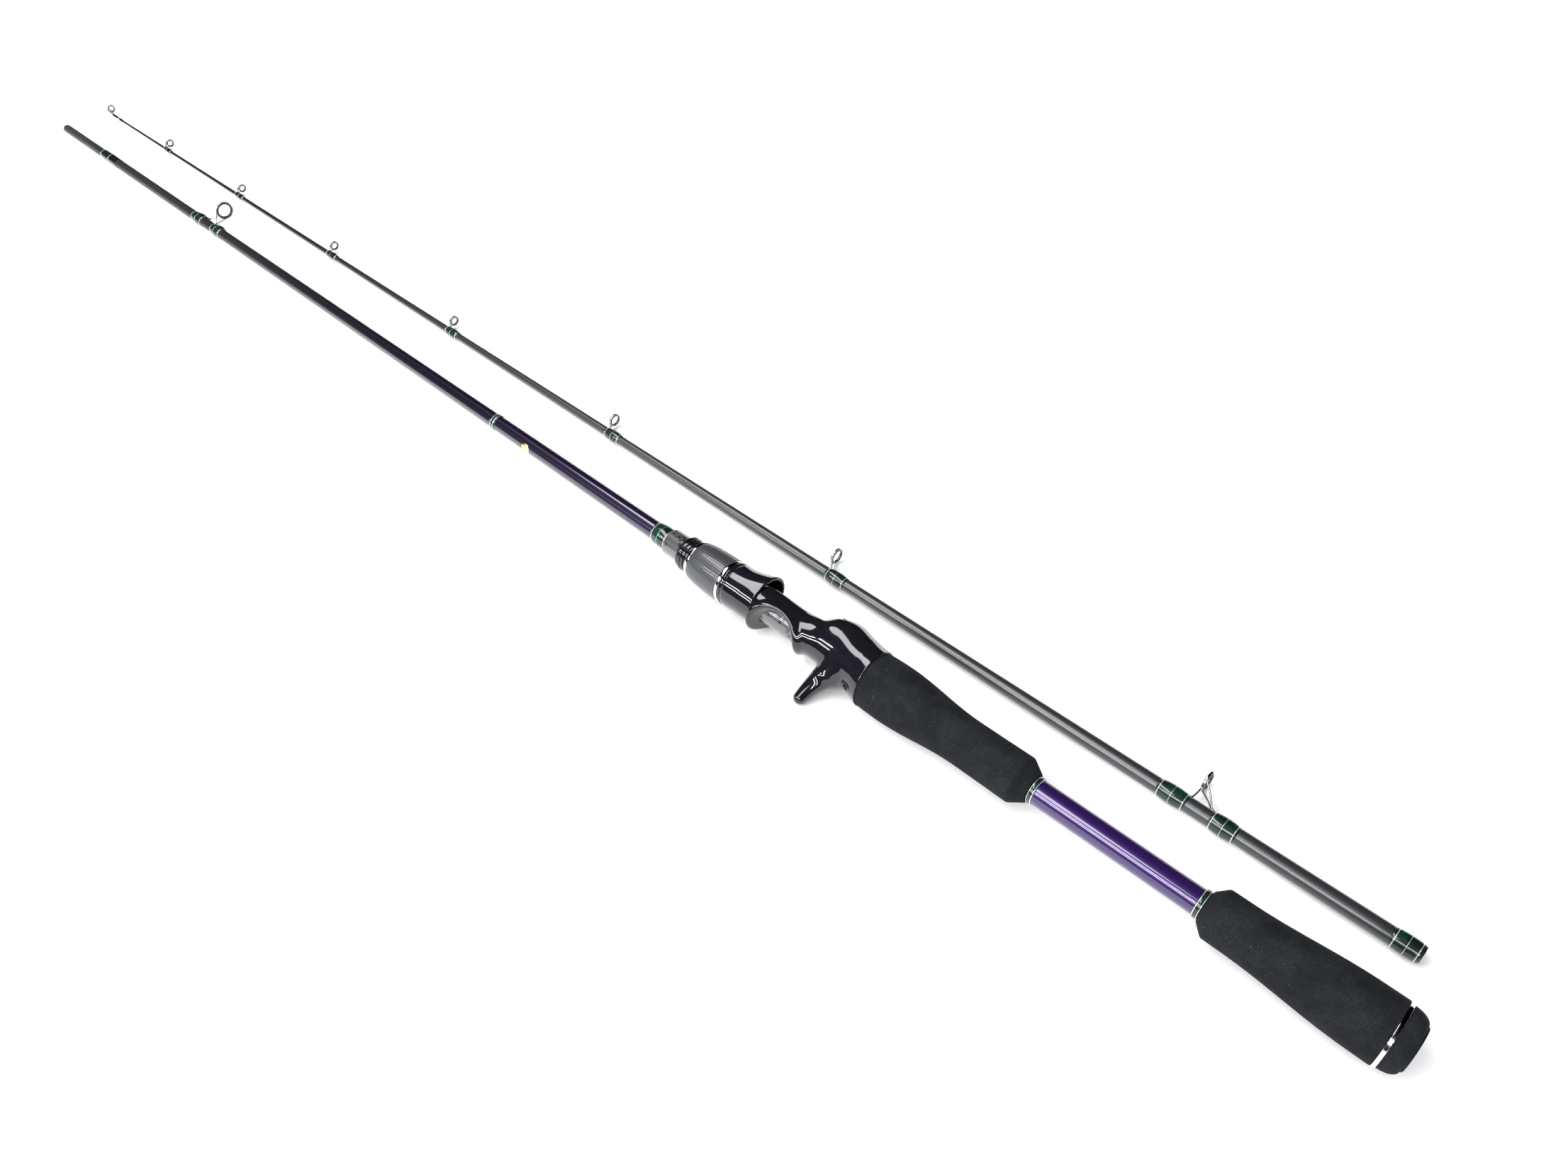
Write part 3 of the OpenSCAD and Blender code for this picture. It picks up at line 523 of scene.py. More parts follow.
def evaFoam():
    # closed-cell foam: fine open pores, soft blue-grey cloudiness and a few pale specks
    f = Finish("evaFoam", specular=0.12)
    pore = f.noise(1700.0, 3.0, 0.7)
    cloud = f.noise(75.0, 5.0, 0.65)
    spot = f.add("ShaderNodeTexCoord", out=3)
    cells = f.add("ShaderNodeTexVoronoi", None, {"Vector": spot, "Scale": 420.0})
    speck = 1 - f.step(cells, 0.04, 0.1)
    lone = f.step(f.noise(190.0, 1.0), 0.56, 0.62)
    base = f.mixed(f.step(cloud, 0.36, 0.64), (0.0085, 0.0098, 0.0128), (0.0165, 0.0185, 0.0225))
    base = f.mixed(f.step(pore, 0.38, 0.6) * 0.7, base, (0.005, 0.0058, 0.007))
    f.put(colour=f.mixed(speck * lone * 0.7, base, (0.2, 0.21, 0.22)), rough=0.74 + pore * 0.15)
    f.bump(pore, 0.0002, 0.7)
    return f.material


def goldFoil():
    # thin gold foil with a soft wrinkle
    f = Finish("goldFoil", metal=0.85, coat=0.5, coatRough=0.08)
    crease = f.noise(300.0, 3.0)
    f.put(colour=f.mixed(crease, (0.78, 0.6, 0.2), (0.9, 0.78, 0.4)), rough=0.24 + crease * 0.15)
    f.bump(crease, 0.00005, 0.3)
    return f.material


def arborFoam():
    # pale foamed bushing, hidden inside the seat
    f = Finish("arborFoam", rough=0.9)
    cell = f.noise(1200.0, 2.0)
    f.put(colour=f.mixed(cell, (0.4, 0.34, 0.28), (0.6, 0.55, 0.47)))
    f.bump(cell, 0.0001, 0.5)
    return f.material


finishes["blank"] = purpleBlank()
finishes["tipBlank"] = carbonBlank()
finishes["buttGreen"] = greenWinding("buttGreen", buttRod)
finishes["tipGreen"] = greenWinding("tipGreen", tipRod)
finishes["silver"] = metalThread("silverThread", (0.92, 0.93, 0.95))
finishes["teal"] = metalThread("tealThread", (0.1, 0.72, 0.66))
finishes["steel"] = steel("guideSteel", (0.62, 0.6, 0.6), 0.14)
finishes["tipSteel"] = steel("tipTopSteel", (0.85, 0.8, 0.66), 0.18)
finishes["trim"] = steel("brightTrim", (0.86, 0.87, 0.88), 0.12)
finishes["ceramic"] = ceramicGloss("guideCeramic", (0.045, 0.045, 0.048))
finishes["buttCeramic"] = ceramicGloss("darkCeramic", (0.014, 0.011, 0.013))
finishes["pipe"] = weave("pipeWeave", buttRod, radius=7.6, cell=1.9, light=(0.11, 0.11, 0.115),
                         dark=(0.008, 0.008, 0.01), twisted=False, coat=1.0, patchy=True)
finishes["nutWeave"] = weave("nutWeave", buttRod, radius=12.15, cell=1.05, light=(0.098, 0.1, 0.109),
                             dark=(0.03, 0.0315, 0.036), twisted=True, coat=0.25, patchy=False)
finishes["black"] = glossBlack()
finishes["nylon"] = blackNylon()
finishes["foam"] = evaFoam()
finishes["gold"] = goldFoil()
finishes["arbor"] = arborFoam()
print("materials made:", len(finishes))

# blanks

def buttRadius(s):
    # level to parallelTo, then a straight taper to the neck
    return np.interp(s, [blank["parallelTo"], blank["neckAt"]],
                     [blank["buttRadius"], blank["neckRadius"]])


def tipRadius(s):
    # a straight taper from the socket's mouth to the tip
    fall = blank["tipRadius"] - blank["socketRadius"]
    return blank["socketRadius"] + fall * np.asarray(s) / blank["tipLength"]


# the butt blank: its taper, the step down to the spigot, and the spigot's rounded end
stations = np.concatenate([[blank["start"]], np.linspace(60, blank["neckAt"], 43),
                           [1000.0, blank["spigotAt"] - 0.1]])
bend = np.linspace(0, quarterTurn, 8)
domed = np.stack([blank["end"] - blank["domeLength"] * (1 - np.sin(bend)),
                  blank["spigotRadius"] - blank["spigotRound"] * (1 - np.cos(bend))], -1)
profile = np.concatenate([[(blank["start"], 0.0)], np.stack([stations, buttRadius(stations)], -1),
                          [(blank["spigotAt"], blank["neckRadius"]),
                           (blank["spigotAt"], blank["spigotRadius"]),
                           (1130.0, blank["spigotRadius"]), (1166.9, blank["spigotRadius"])],
                          domed, [(blank["end"], 0.0)]])
makePiece("buttBlank", [turned(buttRod, profile, 72)], finishes["blank"], "butt_section",
          ["butt_blank", "spigot_core"])

# the tip blank: its open socket, then the taper and the closed tip
depth, bore = blank["socketDepth"], blank["socketBore"]
stations = np.linspace(0.25, blank["tipLength"] - 0.4, 60)
profile = np.concatenate([[(depth, 0.0), (depth, bore), (30.0, bore), (0.25, bore),
                           (0.0, bore + 0.225), (0.0, blank["socketRadius"] - 0.15)],
                          np.stack([stations, tipRadius(stations)], -1),
                          [(blank["tipLength"], 0.6), (blank["tipLength"], 0.0)]])
makePiece("tipBlank", [turned(tipRod, profile, 64)], finishes["tipBlank"], "tip_section",
          ["tip_blank"])

# windings, with an epoxy skin that swells over a guide's foot

winding = {"edge": 0.1, "threadWidth": 0.42, "threadLift": 0.1, "footSwell": 0.55}


def wrapSkin(t, full):
    # thickness of epoxy over thread at share t of the length: thin ends, then full
    return winding["edge"] + (full - winding["edge"]) * np.sin(np.pi * np.clip(t, 0, 1)) ** 0.6


def wrapped(rod, s0, s1, radius, full, marks, foot=None, run=0.7):
    # the winding itself, and its trim threads as thin bands that follow the same skin
    def swell(s, angle):
        if foot is None:
            return 0 * s + 0 * angle
        inside = np.clip((s - foot[0]) / 3, 0, 1) * np.clip((foot[1] - s) / 3, 0, 1)
        return winding["footSwell"] * inside * np.exp(-(np.minimum(angle, 2 * np.pi - angle) / 0.42) ** 2)
    t = (1 - np.cos(np.linspace(0, np.pi, 34))) / 2
    s = s0 + (s1 - s0) * t
    skin = np.stack([s, radius(s) + wrapSkin(t, full)], -1)
    ends = [(s0 - run, float(radius(s0)) + 0.01), (s0 - run * 0.4, float(radius(s0)) + 0.06)]
    tails = [(s1 + run * 0.4, float(radius(s1)) + 0.06), (s1 + run, float(radius(s1)) + 0.01)]
    body = turned(rod, np.concatenate([[(s0 - run, float(radius(s0)) - 0.05)], ends, skin, tails,
                                       [(s1 + run, float(radius(s1)) - 0.05)]]), 64, swell)
    bands = []
    for mark in marks:
        width = winding["threadWidth"] * (0.55 if 0.2 < mark < 0.8 and len(marks) == 3 else 1.0)
        at = s0 + (s1 - s0) * mark + width * np.array([-0.5, -0.42, -0.15, 0.15, 0.42, 0.5])
        lift = np.array([-0.08, 0.05, 0.1, 0.1, 0.05, -0.08]) * winding["threadLift"] / 0.1
        share = (at - s0) / (s1 - s0)
        bands.append(turned(rod, np.stack([at, radius(at) + wrapSkin(share, full) + lift], -1), 64, swell))
    return body, bands


def windingSet(name, rod, body, specs, nodes, threadName=None, threadNodes=()):
    # one piece for the windings of all the specs, and one for their trim threads
    green = finishes["buttGreen"] if rod is buttRod else finishes["tipGreen"]
    made = [wrapped(rod, *spec) for spec in specs]
    makePiece(name, [m[0] for m in made], green, body, nodes)
    if threadName:
        makePiece(threadName, [b for m in made for b in m[1]], finishes["silver"], body,
                  threadNodes)


guideAt = 917.7
windingSet("ferruleWinding", buttRod, "butt_section", [(1068.0, 1095.3, buttRadius, 0.45, (0.47, 0.97))],
           ["ferrule_winding"], "ferruleThreads", ["ferrule_silver_threads"])
windingSet("buttGuideWindings", buttRod, "butt_section",
           [(guideAt - 20.5, guideAt - 7.7, buttRadius, 0.8, (0.05, 0.5, 0.95),
             (guideAt - 20.0, guideAt - 4.0)),
            (guideAt + 7.3, guideAt + 21.3, buttRadius, 0.8, (0.05, 0.5, 0.95),
             (guideAt + 4.0, guideAt + 20.5))],
           ["butt_guide_windings"], "buttGuideThreads", ["butt_guide_threads"])
windingSet("bandWinding", buttRod, "butt_section", [(557.3, 560.9, buttRadius, 0.3, (0.18, 0.82))],
           ["band_winding"], "bandThreads", ["band_silver_threads"])
windingSet("seatFrontWinding", buttRod, "butt_section",
           [(404.6, 416.1, buttRadius, 0.85, (0.1, 0.94), None, 0.5)],
           ["seat_front_winding"], "seatFrontThreads", ["seat_front_silver_threads"])
teal = wrapped(buttRod, 404.6, 416.1, buttRadius, 0.85, (0.52,))[1]
makePiece("seatFrontTeal", teal, finishes["teal"], "butt_section",
          ["seat_front_teal_thread"])
for spot, s0 in (("fore", 167.1), ("rear", 86.2)):
    windingSet(spot + "Trim", buttRod, "butt_section",
               [(s0 + 0.1, s0 + 3.0, buttRadius, 0.6, (0.14, 0.86), None, 0.05)],
               [spot + "_trim_winding"], spot + "TrimThreads", [spot + "_trim_threads"])
windingSet("socketWinding", tipRod, "tip_section",
           [(0.6, 12.6, tipRadius, 0.6, (0.1, 0.5, 0.92), None, 0.5)],
           ["socket_winding"], "socketThreads", ["socket_threads"])
stripperAt = 105.5
windingSet("stripperWindings", tipRod, "tip_section",
           [(stripperAt - 23.4, stripperAt - 11.6, tipRadius, 0.8, (0.04, 0.5, 0.96),
             (stripperAt - 22.5, stripperAt - 8.5)),
            (stripperAt + 1.2, stripperAt + 14.4, tipRadius, 0.8, (0.04, 0.5, 0.96),
             (stripperAt - 1.0, stripperAt + 13.6))],
           ["stripper_windings"], "stripperThreads", ["stripper_threads"])

# the single-foot guides: outer diameter, station and height of each ring
singleDias = [6.9, 6.9, 7.2, 7.5, 8.4, 9.6]
ringMounts = [mountAt[f"line_ring_{k + 1}"] for k in range(len(singleDias))]
ringAt = [(tipRod["end"] - m.x) * 1000 for m in ringMounts]
ringUp = [math.hypot(m.y - tipRod["y"], m.z - tipRod["z"]) * 1000 for m in ringMounts]
footGap = 5.7  # from a ring's middle back to the front end of its winding
singleThreads = []
for k, s in enumerate(ringAt):
    w1 = s - footGap
    w0 = w1 - 12.2
    skin, bands = wrapped(tipRod, w0, w1, tipRadius, 0.8, (0.05, 0.5, 0.95), (w0 + 1.5, w1 + 2.0))
    makePiece(f"guide{k + 1}Winding", [skin], finishes["tipGreen"], "tip_section",
              [f"guide_{k + 1}_winding"])
    singleThreads += bands
makePiece("guideThreads", singleThreads, finishes["silver"], "tip_section",
          ["guide_threads"])
windingSet("tipTopWinding", tipRod, "tip_section", [(1161.0, 1168.8, tipRadius, 0.4, (0.9,))],
           ["tip_top_winding"], "tipTopThread")
print("windings made")

# guides

guide = {"rim": 0.75, "rimWidth": 1.2, "ringWidth": 1.8, "wire": 0.46, "wall": 0.85, "buttWall": 1.5}


def ringParts(rod, s, up, dia, wall):
    # the frame's rim, and the ceramic ring inside it with rounded lips
    rim = hoop(rod, s, up, ovalLoop(guide["rimWidth"], guide["rim"], dia / 2 - guide["rim"] / 2))
    inner = dia / 2 - guide["rim"] - wall / 2
    return rim, hoop(rod, s, up, ovalLoop(guide["ringWidth"], wall, inner, 2.2, 24))


def footBar(rod, s0, s1, radius, back):
    # a flat foot, thinned to a feather end under the winding
    up = float(radius(s0)) + 0.3
    near, far = (s0, s1) if back else (s1, s0)
    path = [(far, float(radius(far)) + 0.12, 0), ((near + far) / 2, up, 0), (near, up + 0.25, 0)]
    return tube(rod, path, [0.35, 0.7, 0.62], 0.42, 16, 16)


def doubleGuide(name, rod, body, s, up, dia, wall, front, rear, radius, nodes, ring, ringNode):
    # a braced guide: one leg from the front foot to the rim's lowest point, and two from the
    # rear foot that meet the rim as tangents
    rim, insert = ringParts(rod, s, up, dia, wall)
    low = float(radius(s)) + 0.55
    r = dia / 2 - 0.4
    turn = math.acos(r / (up - low))
    legs = [tube(rod, [(s + front[0] + 2.2, low, 0), (s + front[0] + 0.2, low + 0.5, 0),
                       (s + 0.45 * front[0], (low + up - dia / 2) / 2 + 0.2, 0),
                       (s + 0.1, up - dia / 2 + 0.2, 0)],
                 [0.5, 0.5, 0.46, 0.5])]
    for side in (-1, 1):
        end = (s - 0.1, up - r * math.cos(turn), side * r * math.sin(turn))
        start = (s - rear[0] - 0.6, low, side * 0.35)
        mid = tuple((a + b) / 2 for a, b in zip(start, end))
        upper = (s - 0.1, up + 0.1 * r, side * (r + 0.02))
        legs.append(tube(rod, [(start[0] - 1.8, low - 0.1, side * 0.3), start, mid, end, upper],
                         [0.5, 0.48, guide["wire"], guide["wire"], 0.3], 1.0, 14, 60))
    feet = [footBar(rod, s + front[0], s + front[1], radius, True),
            footBar(rod, s - rear[1], s - rear[0], radius, False)]
    makePiece(name, [rim, *legs, *feet], finishes["steel"], body, nodes)
    makePiece(name + "Ring", [insert], ring, body, [ringNode])


doubleGuide("buttGuide", buttRod, "butt_section", s=guideAt, up=16.1, dia=13.4,
            wall=guide["buttWall"], front=(4.5, 19.5), rear=(4.5, 19.5), radius=buttRadius,
            nodes=["butt_guide_frame"], ring=finishes["buttCeramic"], ringNode="butt_guide_ring")
doubleGuide("stripper", tipRod, "tip_section", s=stripperAt, up=16.85, dia=11.0,
            wall=guide["wall"], front=(0.6, 13.0), rear=(9.2, 21.8), radius=tipRadius,
            nodes=["stripper_frame"], ring=finishes["ceramic"], ringNode="stripper_ring")

# single-foot guides: two legs that rise from one foot to the rim
legTurn = 0.72  # from the rim's lowest point to where a leg meets it, in radians
for k, (s, up, dia) in enumerate(zip(ringAt, ringUp, singleDias)):
    rim, insert = ringParts(tipRod, s, up, dia, guide["wall"])
    w1 = s - footGap
    low = float(tipRadius(w1)) + 0.55
    r = dia / 2 - 0.35
    legs = []
    for side in (-1, 1):
        end = (s - 0.15, up - r * math.cos(legTurn), side * r * math.sin(legTurn))
        legs.append(tube(tipRod, [(w1 - 2.0, low - 0.1, side * 0.3), (w1 + 0.6, low + 0.05, side * 0.36),
                                  (s - 2.3, (low + end[1]) / 2 - 0.4, side * r * 0.42), end],
                         [0.42, 0.44, 0.42, 0.4]))
    legs.append(footBar(tipRod, w1 - 9.5, w1 + 0.8, tipRadius, False))
    makePiece(f"guide{k + 1}", [rim, *legs], finishes["steel"], "tip_section",
              [f"guide_{k + 1}_frame"])
    makePiece(f"guide{k + 1}Ring", [insert], finishes["ceramic"], "tip_section",
              [f"guide_{k + 1}_ring"])

# tip-top: a cap over the blank's end, a middle strut and two side struts that hold the rim
topAt = 1196.0
rim, insert = ringParts(tipRod, topAt, 4.9, 7.2, guide["wall"])
cap = softened([(1169.0, 0.0), (1169.0, 1.3), (1179.5, 1.3), (1181.0, 0.9), (1181.2, 0.0)], 0.2)
strut = [(1178.0, 0.0, 0), (1183.0, 0.15, 0), (1190.0, 0.9, 0), (topAt, 1.6, 0)]
legs = [turned(tipRod, cap, 40), tube(tipRod, strut, [0.7, 0.6, 0.5, 0.5])]
for side in (-1, 1):
    legs.append(tube(tipRod, [(1178.0, 0.2, side * 0.7), (1183.0, 0.9, side * 1.2), (1190.0, 2.0, side * 1.9),
                              (topAt - 0.1, 2.9, side * 2.5)], [0.5, 0.45, 0.4, 0.38]))
makePiece("tipTop", [rim, *legs], finishes["tipSteel"], "tip_section", ["tip_top_frame"])
makePiece("tipTopRing", [insert], finishes["ceramic"], "tip_section", ["tip_top_ring"])
print("guides made")

# grips

# radii, and the stations where each grip's flank starts and ends, in mm
grips = {"bore": 6.1, "slim": 11.7, "rearFull": 14.45, "foreFull": 14.9, "foreFront": 14.3,
         "foreWaist": 11.55, "rearFlank": (19.6, 72.2), "foreFlank": (206.1, 250.1)}

low, high = grips["rearFlank"]
stations = np.linspace(low, high, 40)
share = (stations - low) / (high - low)
flank = grips["rearFull"] + (grips["slim"] - grips["rearFull"]) * (1 - np.cos(np.pi * share)) / 2
nose = softened([(76.0, grips["slim"]), (81.2, grips["slim"]), (82.0, 11.3), (86.0, 7.4),
                 (86.2, 6.9), (86.2, grips["bore"])], 0.5, 5)
profile = np.concatenate([[(9.62, 6.15), (9.62, 14.2), (9.9, grips["rearFull"])],
                          np.stack([stations, flank], -1), nose])
makePiece("rearGrip", [turned(buttRod, profile, 96)], finishes["foam"], "butt_section",
          ["rear_grip"])

low, high = grips["foreFlank"]
stations = np.linspace(low, high, 40)
share = (stations - low) / (high - low)
flank = grips["foreWaist"] + (grips["foreFull"] - grips["foreWaist"]) * (1 - np.cos(np.pi * share)) / 2
shoulder = np.linspace(0.1, quarterTurn, 12)
tail = softened([(170.22, grips["bore"]), (170.22, 6.9), (170.4, 7.4), (176.4, 11.3),
                 (177.2, grips["slim"]), (190.0, 11.6)], 0.5, 5)
front = np.stack([high + 11.98 * np.sin(shoulder), grips["foreFront"] + 0.6 * np.cos(shoulder)], -1)
profile = np.concatenate([tail, np.stack([stations, flank], -1), front, [(262.08, grips["bore"])]])
makePiece("foreGrip", [turned(buttRod, profile, 96)], finishes["foam"], "butt_section",
          ["fore_grip"])

ring = softened([(8.02, 6.15), (8.02, 14.35), (9.6, 14.35), (9.6, 6.15)], 0.15)
makePiece("buttRing", [turned(buttRod, ring, 96)], finishes["trim"], "butt_section",
          ["butt_ring"])

# butt cap: a flat end, a small edge round it, a wide dome and a blind bore
bend = np.linspace(0, quarterTurn, 16)
edge = np.stack([0.8 - 0.8 * np.cos(bend), 9.2 + 0.8 * np.sin(bend)], -1)[::3]
dome = np.stack([7.6 - 6.8 * np.cos(bend), 10 + 3.75 * np.sin(bend)], -1)[1:]
profile = np.concatenate([[(0.0, 0.0), (0.0, 9.2)], edge, dome,
                          [(8.0, 13.75), (8.0, grips["bore"]), (3.9, grips["bore"]), (3.9, 0.0)]])
makePiece("buttCap", [turned(buttRod, profile, 96)], finishes["foam"], "butt_section",
          ["butt_cap"])
print("grips made")

# reel seat

seat = {"rear": 262.12, "stop": 335.1, "front": 393.1, "deck": 9.3, "deckAt": 311.0, "bore": 7.65,
        "pitch": 2.5, "root": 8.7, "crest": 9.5, "net": 0.45, "quickNet": 0.8, "pipeRear": 262.15,
        "pipeFront": 404.1, "pipeRadius": 7.6, "pipeBore": 6.65, "drainTurn": 2.72}

# the pocket for the reel's foot: where it ends, its middle height, half its height and width
pocketBox = {"end": 281.0, "up": 12.3, "halfHeight": 3.0, "halfWidth": 7.5}

# the trigger's middle line from its tip to its root: height, station and radius
trigger = {"up": [-27.6, -24.5, -21.0, -17.0, -13.2, -8.0, -3.0],
           "at": [286.8, 286.5, 285.8, 284.6, 282.4, 279.2, 277.5],
           "radius": [3.5, 3.95, 4.6, 5.7, 7.6, 9.0, 9.0]}


def seatField(s, up, side):
    # a turned waist, a raised rear hood and a finger trigger, run together with fillets; then
    # the deck, the foot pocket, the window and the bore are taken away with rounded lips
    drop = 0.9 * np.clip((s - 298) / 16, 0, 1)
    rho = np.sqrt((up + drop) ** 2 + side ** 2)
    girth = smoothCurve(s, [262, 266, 271, 278, 288, 298, 306, 314, 322, 330, 336],
                        [14.3, 13.5, 12.2, 11.1, 9.9, 9.3, 9.7, 10.6, 11.4, 11.9, 12.0])
    waist = rho - girth
    along = [262, 274, 286, 292, 300, 310]
    lift = smoothCurve(s, along, [0.0, 3.3, 6.0, 5.6, 3.0, 0.0])
    lobeRadius = smoothCurve(s, along, [14.3, 13.3, 12.5, 12.0, 9.7, 8.3])
    lobe = np.sqrt((up - lift) ** 2 + (side * 1.03) ** 2) - lobeRadius
    roof = lobe + 1.3 - 8 * np.clip((s - 290) / 4, 0, 1)
    slant = (s - 290) * 0.367 + (up - 17.8) * 0.93
    lobe = carved(lobe, -slant, 2.4)
    solid = joined(waist, lobe, 3.5)
    # the trigger: an oval section whose middle and size follow the height, round at both ends
    level = np.clip(up, trigger["up"][0], trigger["up"][-1])
    middle, size = [smoothCurve(level, trigger["up"], trigger[k]) for k in ("at", "radius")]
    wide = 1.2 - 0.12 * np.clip((-18 - up) / 10, 0, 1)
    finger = np.sqrt((s - middle) ** 2 + (side * wide) ** 2 + (up - level) ** 2) - size
    solid = joined(solid, finger, 4.5)
    # a rolled bead round the window's edge, fading where it meets the waist's underside
    oval = (np.sqrt(((s - 319.4) / 14.6) ** 2 + ((up + 14.2) / 13.4) ** 2) - 1) * 13.4
    bead = np.sqrt((oval - 0.6) ** 2 + (rho - girth + 0.7) ** 2) - 1.6
    solid = joined(solid, bead, 3.2)
    solid = carved(solid, oval + 0.5, 1.8)
    solid = carved(solid, np.sqrt(up ** 2 + side ** 2) - seat["bore"], 0.35)
    # the foot pocket: 1.3 mm inside the raised hood's skin up to s = 290, then free to open
    pocket = np.maximum(abs(side) - pocketBox["halfWidth"],
                        abs(up - pocketBox["up"]) - pocketBox["halfHeight"])
    pocket = np.maximum(pocket, pocketBox["end"] - s)
    solid = carved(solid, np.maximum(pocket, roof), 0.7)
    deck = np.maximum(seat["deck"] - up, seat["deckAt"] - s)
    solid = carved(solid, deck, 0.9)
    # the drain hole, on one side of the seat's underside
    c, d = math.cos(seat["drainTurn"]), math.sin(seat["drainTurn"])
    hole = np.sqrt(((s - 269.3) * 0.75) ** 2 + (side * c - up * d) ** 2) - 1.15
    hole = np.maximum(hole, 2.0 - (up * c + side * d))
    solid = carved(solid, hole, 0.35)
    solid = carved(solid, s - seat["rear"], 0.25)
    return carved(solid, seat["stop"] - s, 0.6)


step = seat["net"]
points, quads = netFrom(seatField, (261.4, -32.4, -15.6), (336.2, 19.6, 15.6), step)
makePiece("reelSeat", [(place(buttRod, *points.T), quads[:, ::-1])], finishes["black"], "butt_section",
          ["reel_seat_body"])
print("reel seat:", len(points), "points")

# the threaded front end: a ridge that climbs one pitch each turn, faded out at both ends
rows, around = 480, 96
s = np.linspace(334.0, seat["front"], rows)[:, None]
angle = (np.arange(around) * 2 * np.pi / around)[None]
phase = ((s - angle / (2 * np.pi) * seat["pitch"]) / seat["pitch"]) % 1
ridge = np.clip(1.55 - abs(phase - 0.5) * 5.2, 0, 1)
ridge = ridge * ridge * (3 - 2 * ridge)
ridge = ridge * np.clip((s - 336) / 3, 0, 1) * np.clip((seat["front"] - 0.7 - s) / 0.8, 0, 1)
key = np.clip(2.2 - np.minimum(angle, 2 * np.pi - angle) * 9.5, 0, 1)
r = seat["root"] + (seat["crest"] - seat["root"]) * ridge * (1 - key) - 0.25 * key
end = np.clip((seat["front"] - s) / 0.4, 0, 1) ** 0.5
r = r - 0.35 * (1 - end)
s = np.concatenate([s[:1], s, s[-1:]]) + 0 * angle
inner = np.full((1, around), 7.62)
r = np.concatenate([inner, r, inner])
barrel = place(buttRod, s, r * np.cos(angle), r * np.sin(angle))
makePiece("seatThread", [(barrel, gridFaces(rows + 2, around, True, True)[:, ::-1])], finishes["black"],
          "butt_section")

corner = (seat["pipeRear"], seat["pipeBore"])
profile = softened([corner, (seat["pipeRear"], seat["pipeRadius"]), (300.0, seat["pipeRadius"]),
                    (seat["pipeFront"], seat["pipeRadius"]), (seat["pipeFront"], seat["pipeBore"]),
                    corner], 0.25)
makePiece("seatPipe", [turned(buttRod, profile, 96)], finishes["pipe"], "butt_section",
          ["seat_pipe"])


def dress(nodeName, finish):
    # a node that keeps its CAD shape, in its own finish
    materials = frame["nodes"][nodeName].data.materials
    materials.clear()
    materials.append(finish)


dress("seat_arbors", finishes["arbor"])

# a gold oval on the blank: its face from the middle out, then its underside back in
oval = {"at": 526.1, "length": 7.0, "width": 6.8, "turn": math.radians(150), "thick": 0.14,
        "lift": 0.06, "rings": 8, "around": 48}
a = (np.arange(oval["around"]) * 2 * np.pi / oval["around"])[None]
out = np.linspace(0, 1, oval["rings"])
q = np.concatenate([out, [1.0, 0.0]])[:, None]
rise = np.concatenate([oval["lift"] + oval["thick"] * (1 - out ** 8), [-0.05, -0.05]])[:, None]
along, across = oval["length"] / 2 * q * np.cos(a), oval["width"] / 2 * q * np.sin(a)
r = buttRadius(oval["at"] + along) + rise
angle = oval["turn"] + across / r
p = place(buttRod, oval["at"] + along, r * np.cos(angle), r * np.sin(angle))
makePiece("goldOval", [(p, gridFaces(oval["rings"] + 2, oval["around"], False, True)[:, ::-1])],
          finishes["gold"], "butt_section", ["gold_sticker"])
print("seat made")

# lock nut

nut = {"rear": 358.2, "front": 384.2, "bore": 9.8, "core": 10.75, "nose": 10.15,
       "sleeveRear": 360.05, "sleeveFront": 382.3, "sleeveBore": 10.8}


def nutPiece(name, profile, around, finish, node):
    makePiece(name, [turned(buttRod, profile, around)], finishes[finish], "lock_nut", [node])


core = softened([(nut["rear"], nut["bore"]), (nut["rear"], nut["core"]), (379.2, nut["core"]),
                 (381.2, nut["nose"]), (nut["front"], nut["nose"]), (nut["front"], nut["bore"]),
                 (nut["rear"], nut["bore"])], 0.15)
nutPiece("nutCore", core, 96, "nylon", "lock_nut_core")
curve = np.linspace(360.4, nut["sleeveFront"], 30)
skin = smoothCurve(curve, [360.4, 364, 370, 376, 380, nut["sleeveFront"]],
                   [12.12, 12.12, 12.0, 11.68, 11.2, 10.75])
sleeve = np.concatenate([[(nut["sleeveRear"], nut["sleeveBore"]), (nut["sleeveRear"], 12.0)],
                         np.stack([curve, skin], -1),
                         [(382.35, 10.2), (379.5, nut["sleeveBore"]),
                          (nut["sleeveRear"], nut["sleeveBore"])]])
nutPiece("nutSleeve", sleeve, 120, "nutWeave", "lock_nut_sleeve")
ring = softened([(nut["sleeveFront"], 10.2), (nut["sleeveFront"], 10.82), (nut["front"], 10.6),
                 (nut["front"], 10.2), (nut["sleeveFront"], 10.2)], 0.3)
nutPiece("nutFrontRing", ring, 96, "trim", "lock_nut_front_ring")
ring = softened([(nut["rear"], 10.8), (nut["rear"], 12.14), (360.0, 12.14), (360.0, 10.8),
                 (nut["rear"], 10.8)], 0.25)
nutPiece("nutRearRing", ring, 96, "trim", "lock_nut_rear_ring")

# sliding hood: a skin whose section rises towards the reel's foot near its mouth

hood = {"rear": 335.4, "length": 22.5, "radius": 12.15, "rise": 4.45, "reach": 17.0, "wall": 1.7,
        "mouth": 0.9, "bore": 9.85}


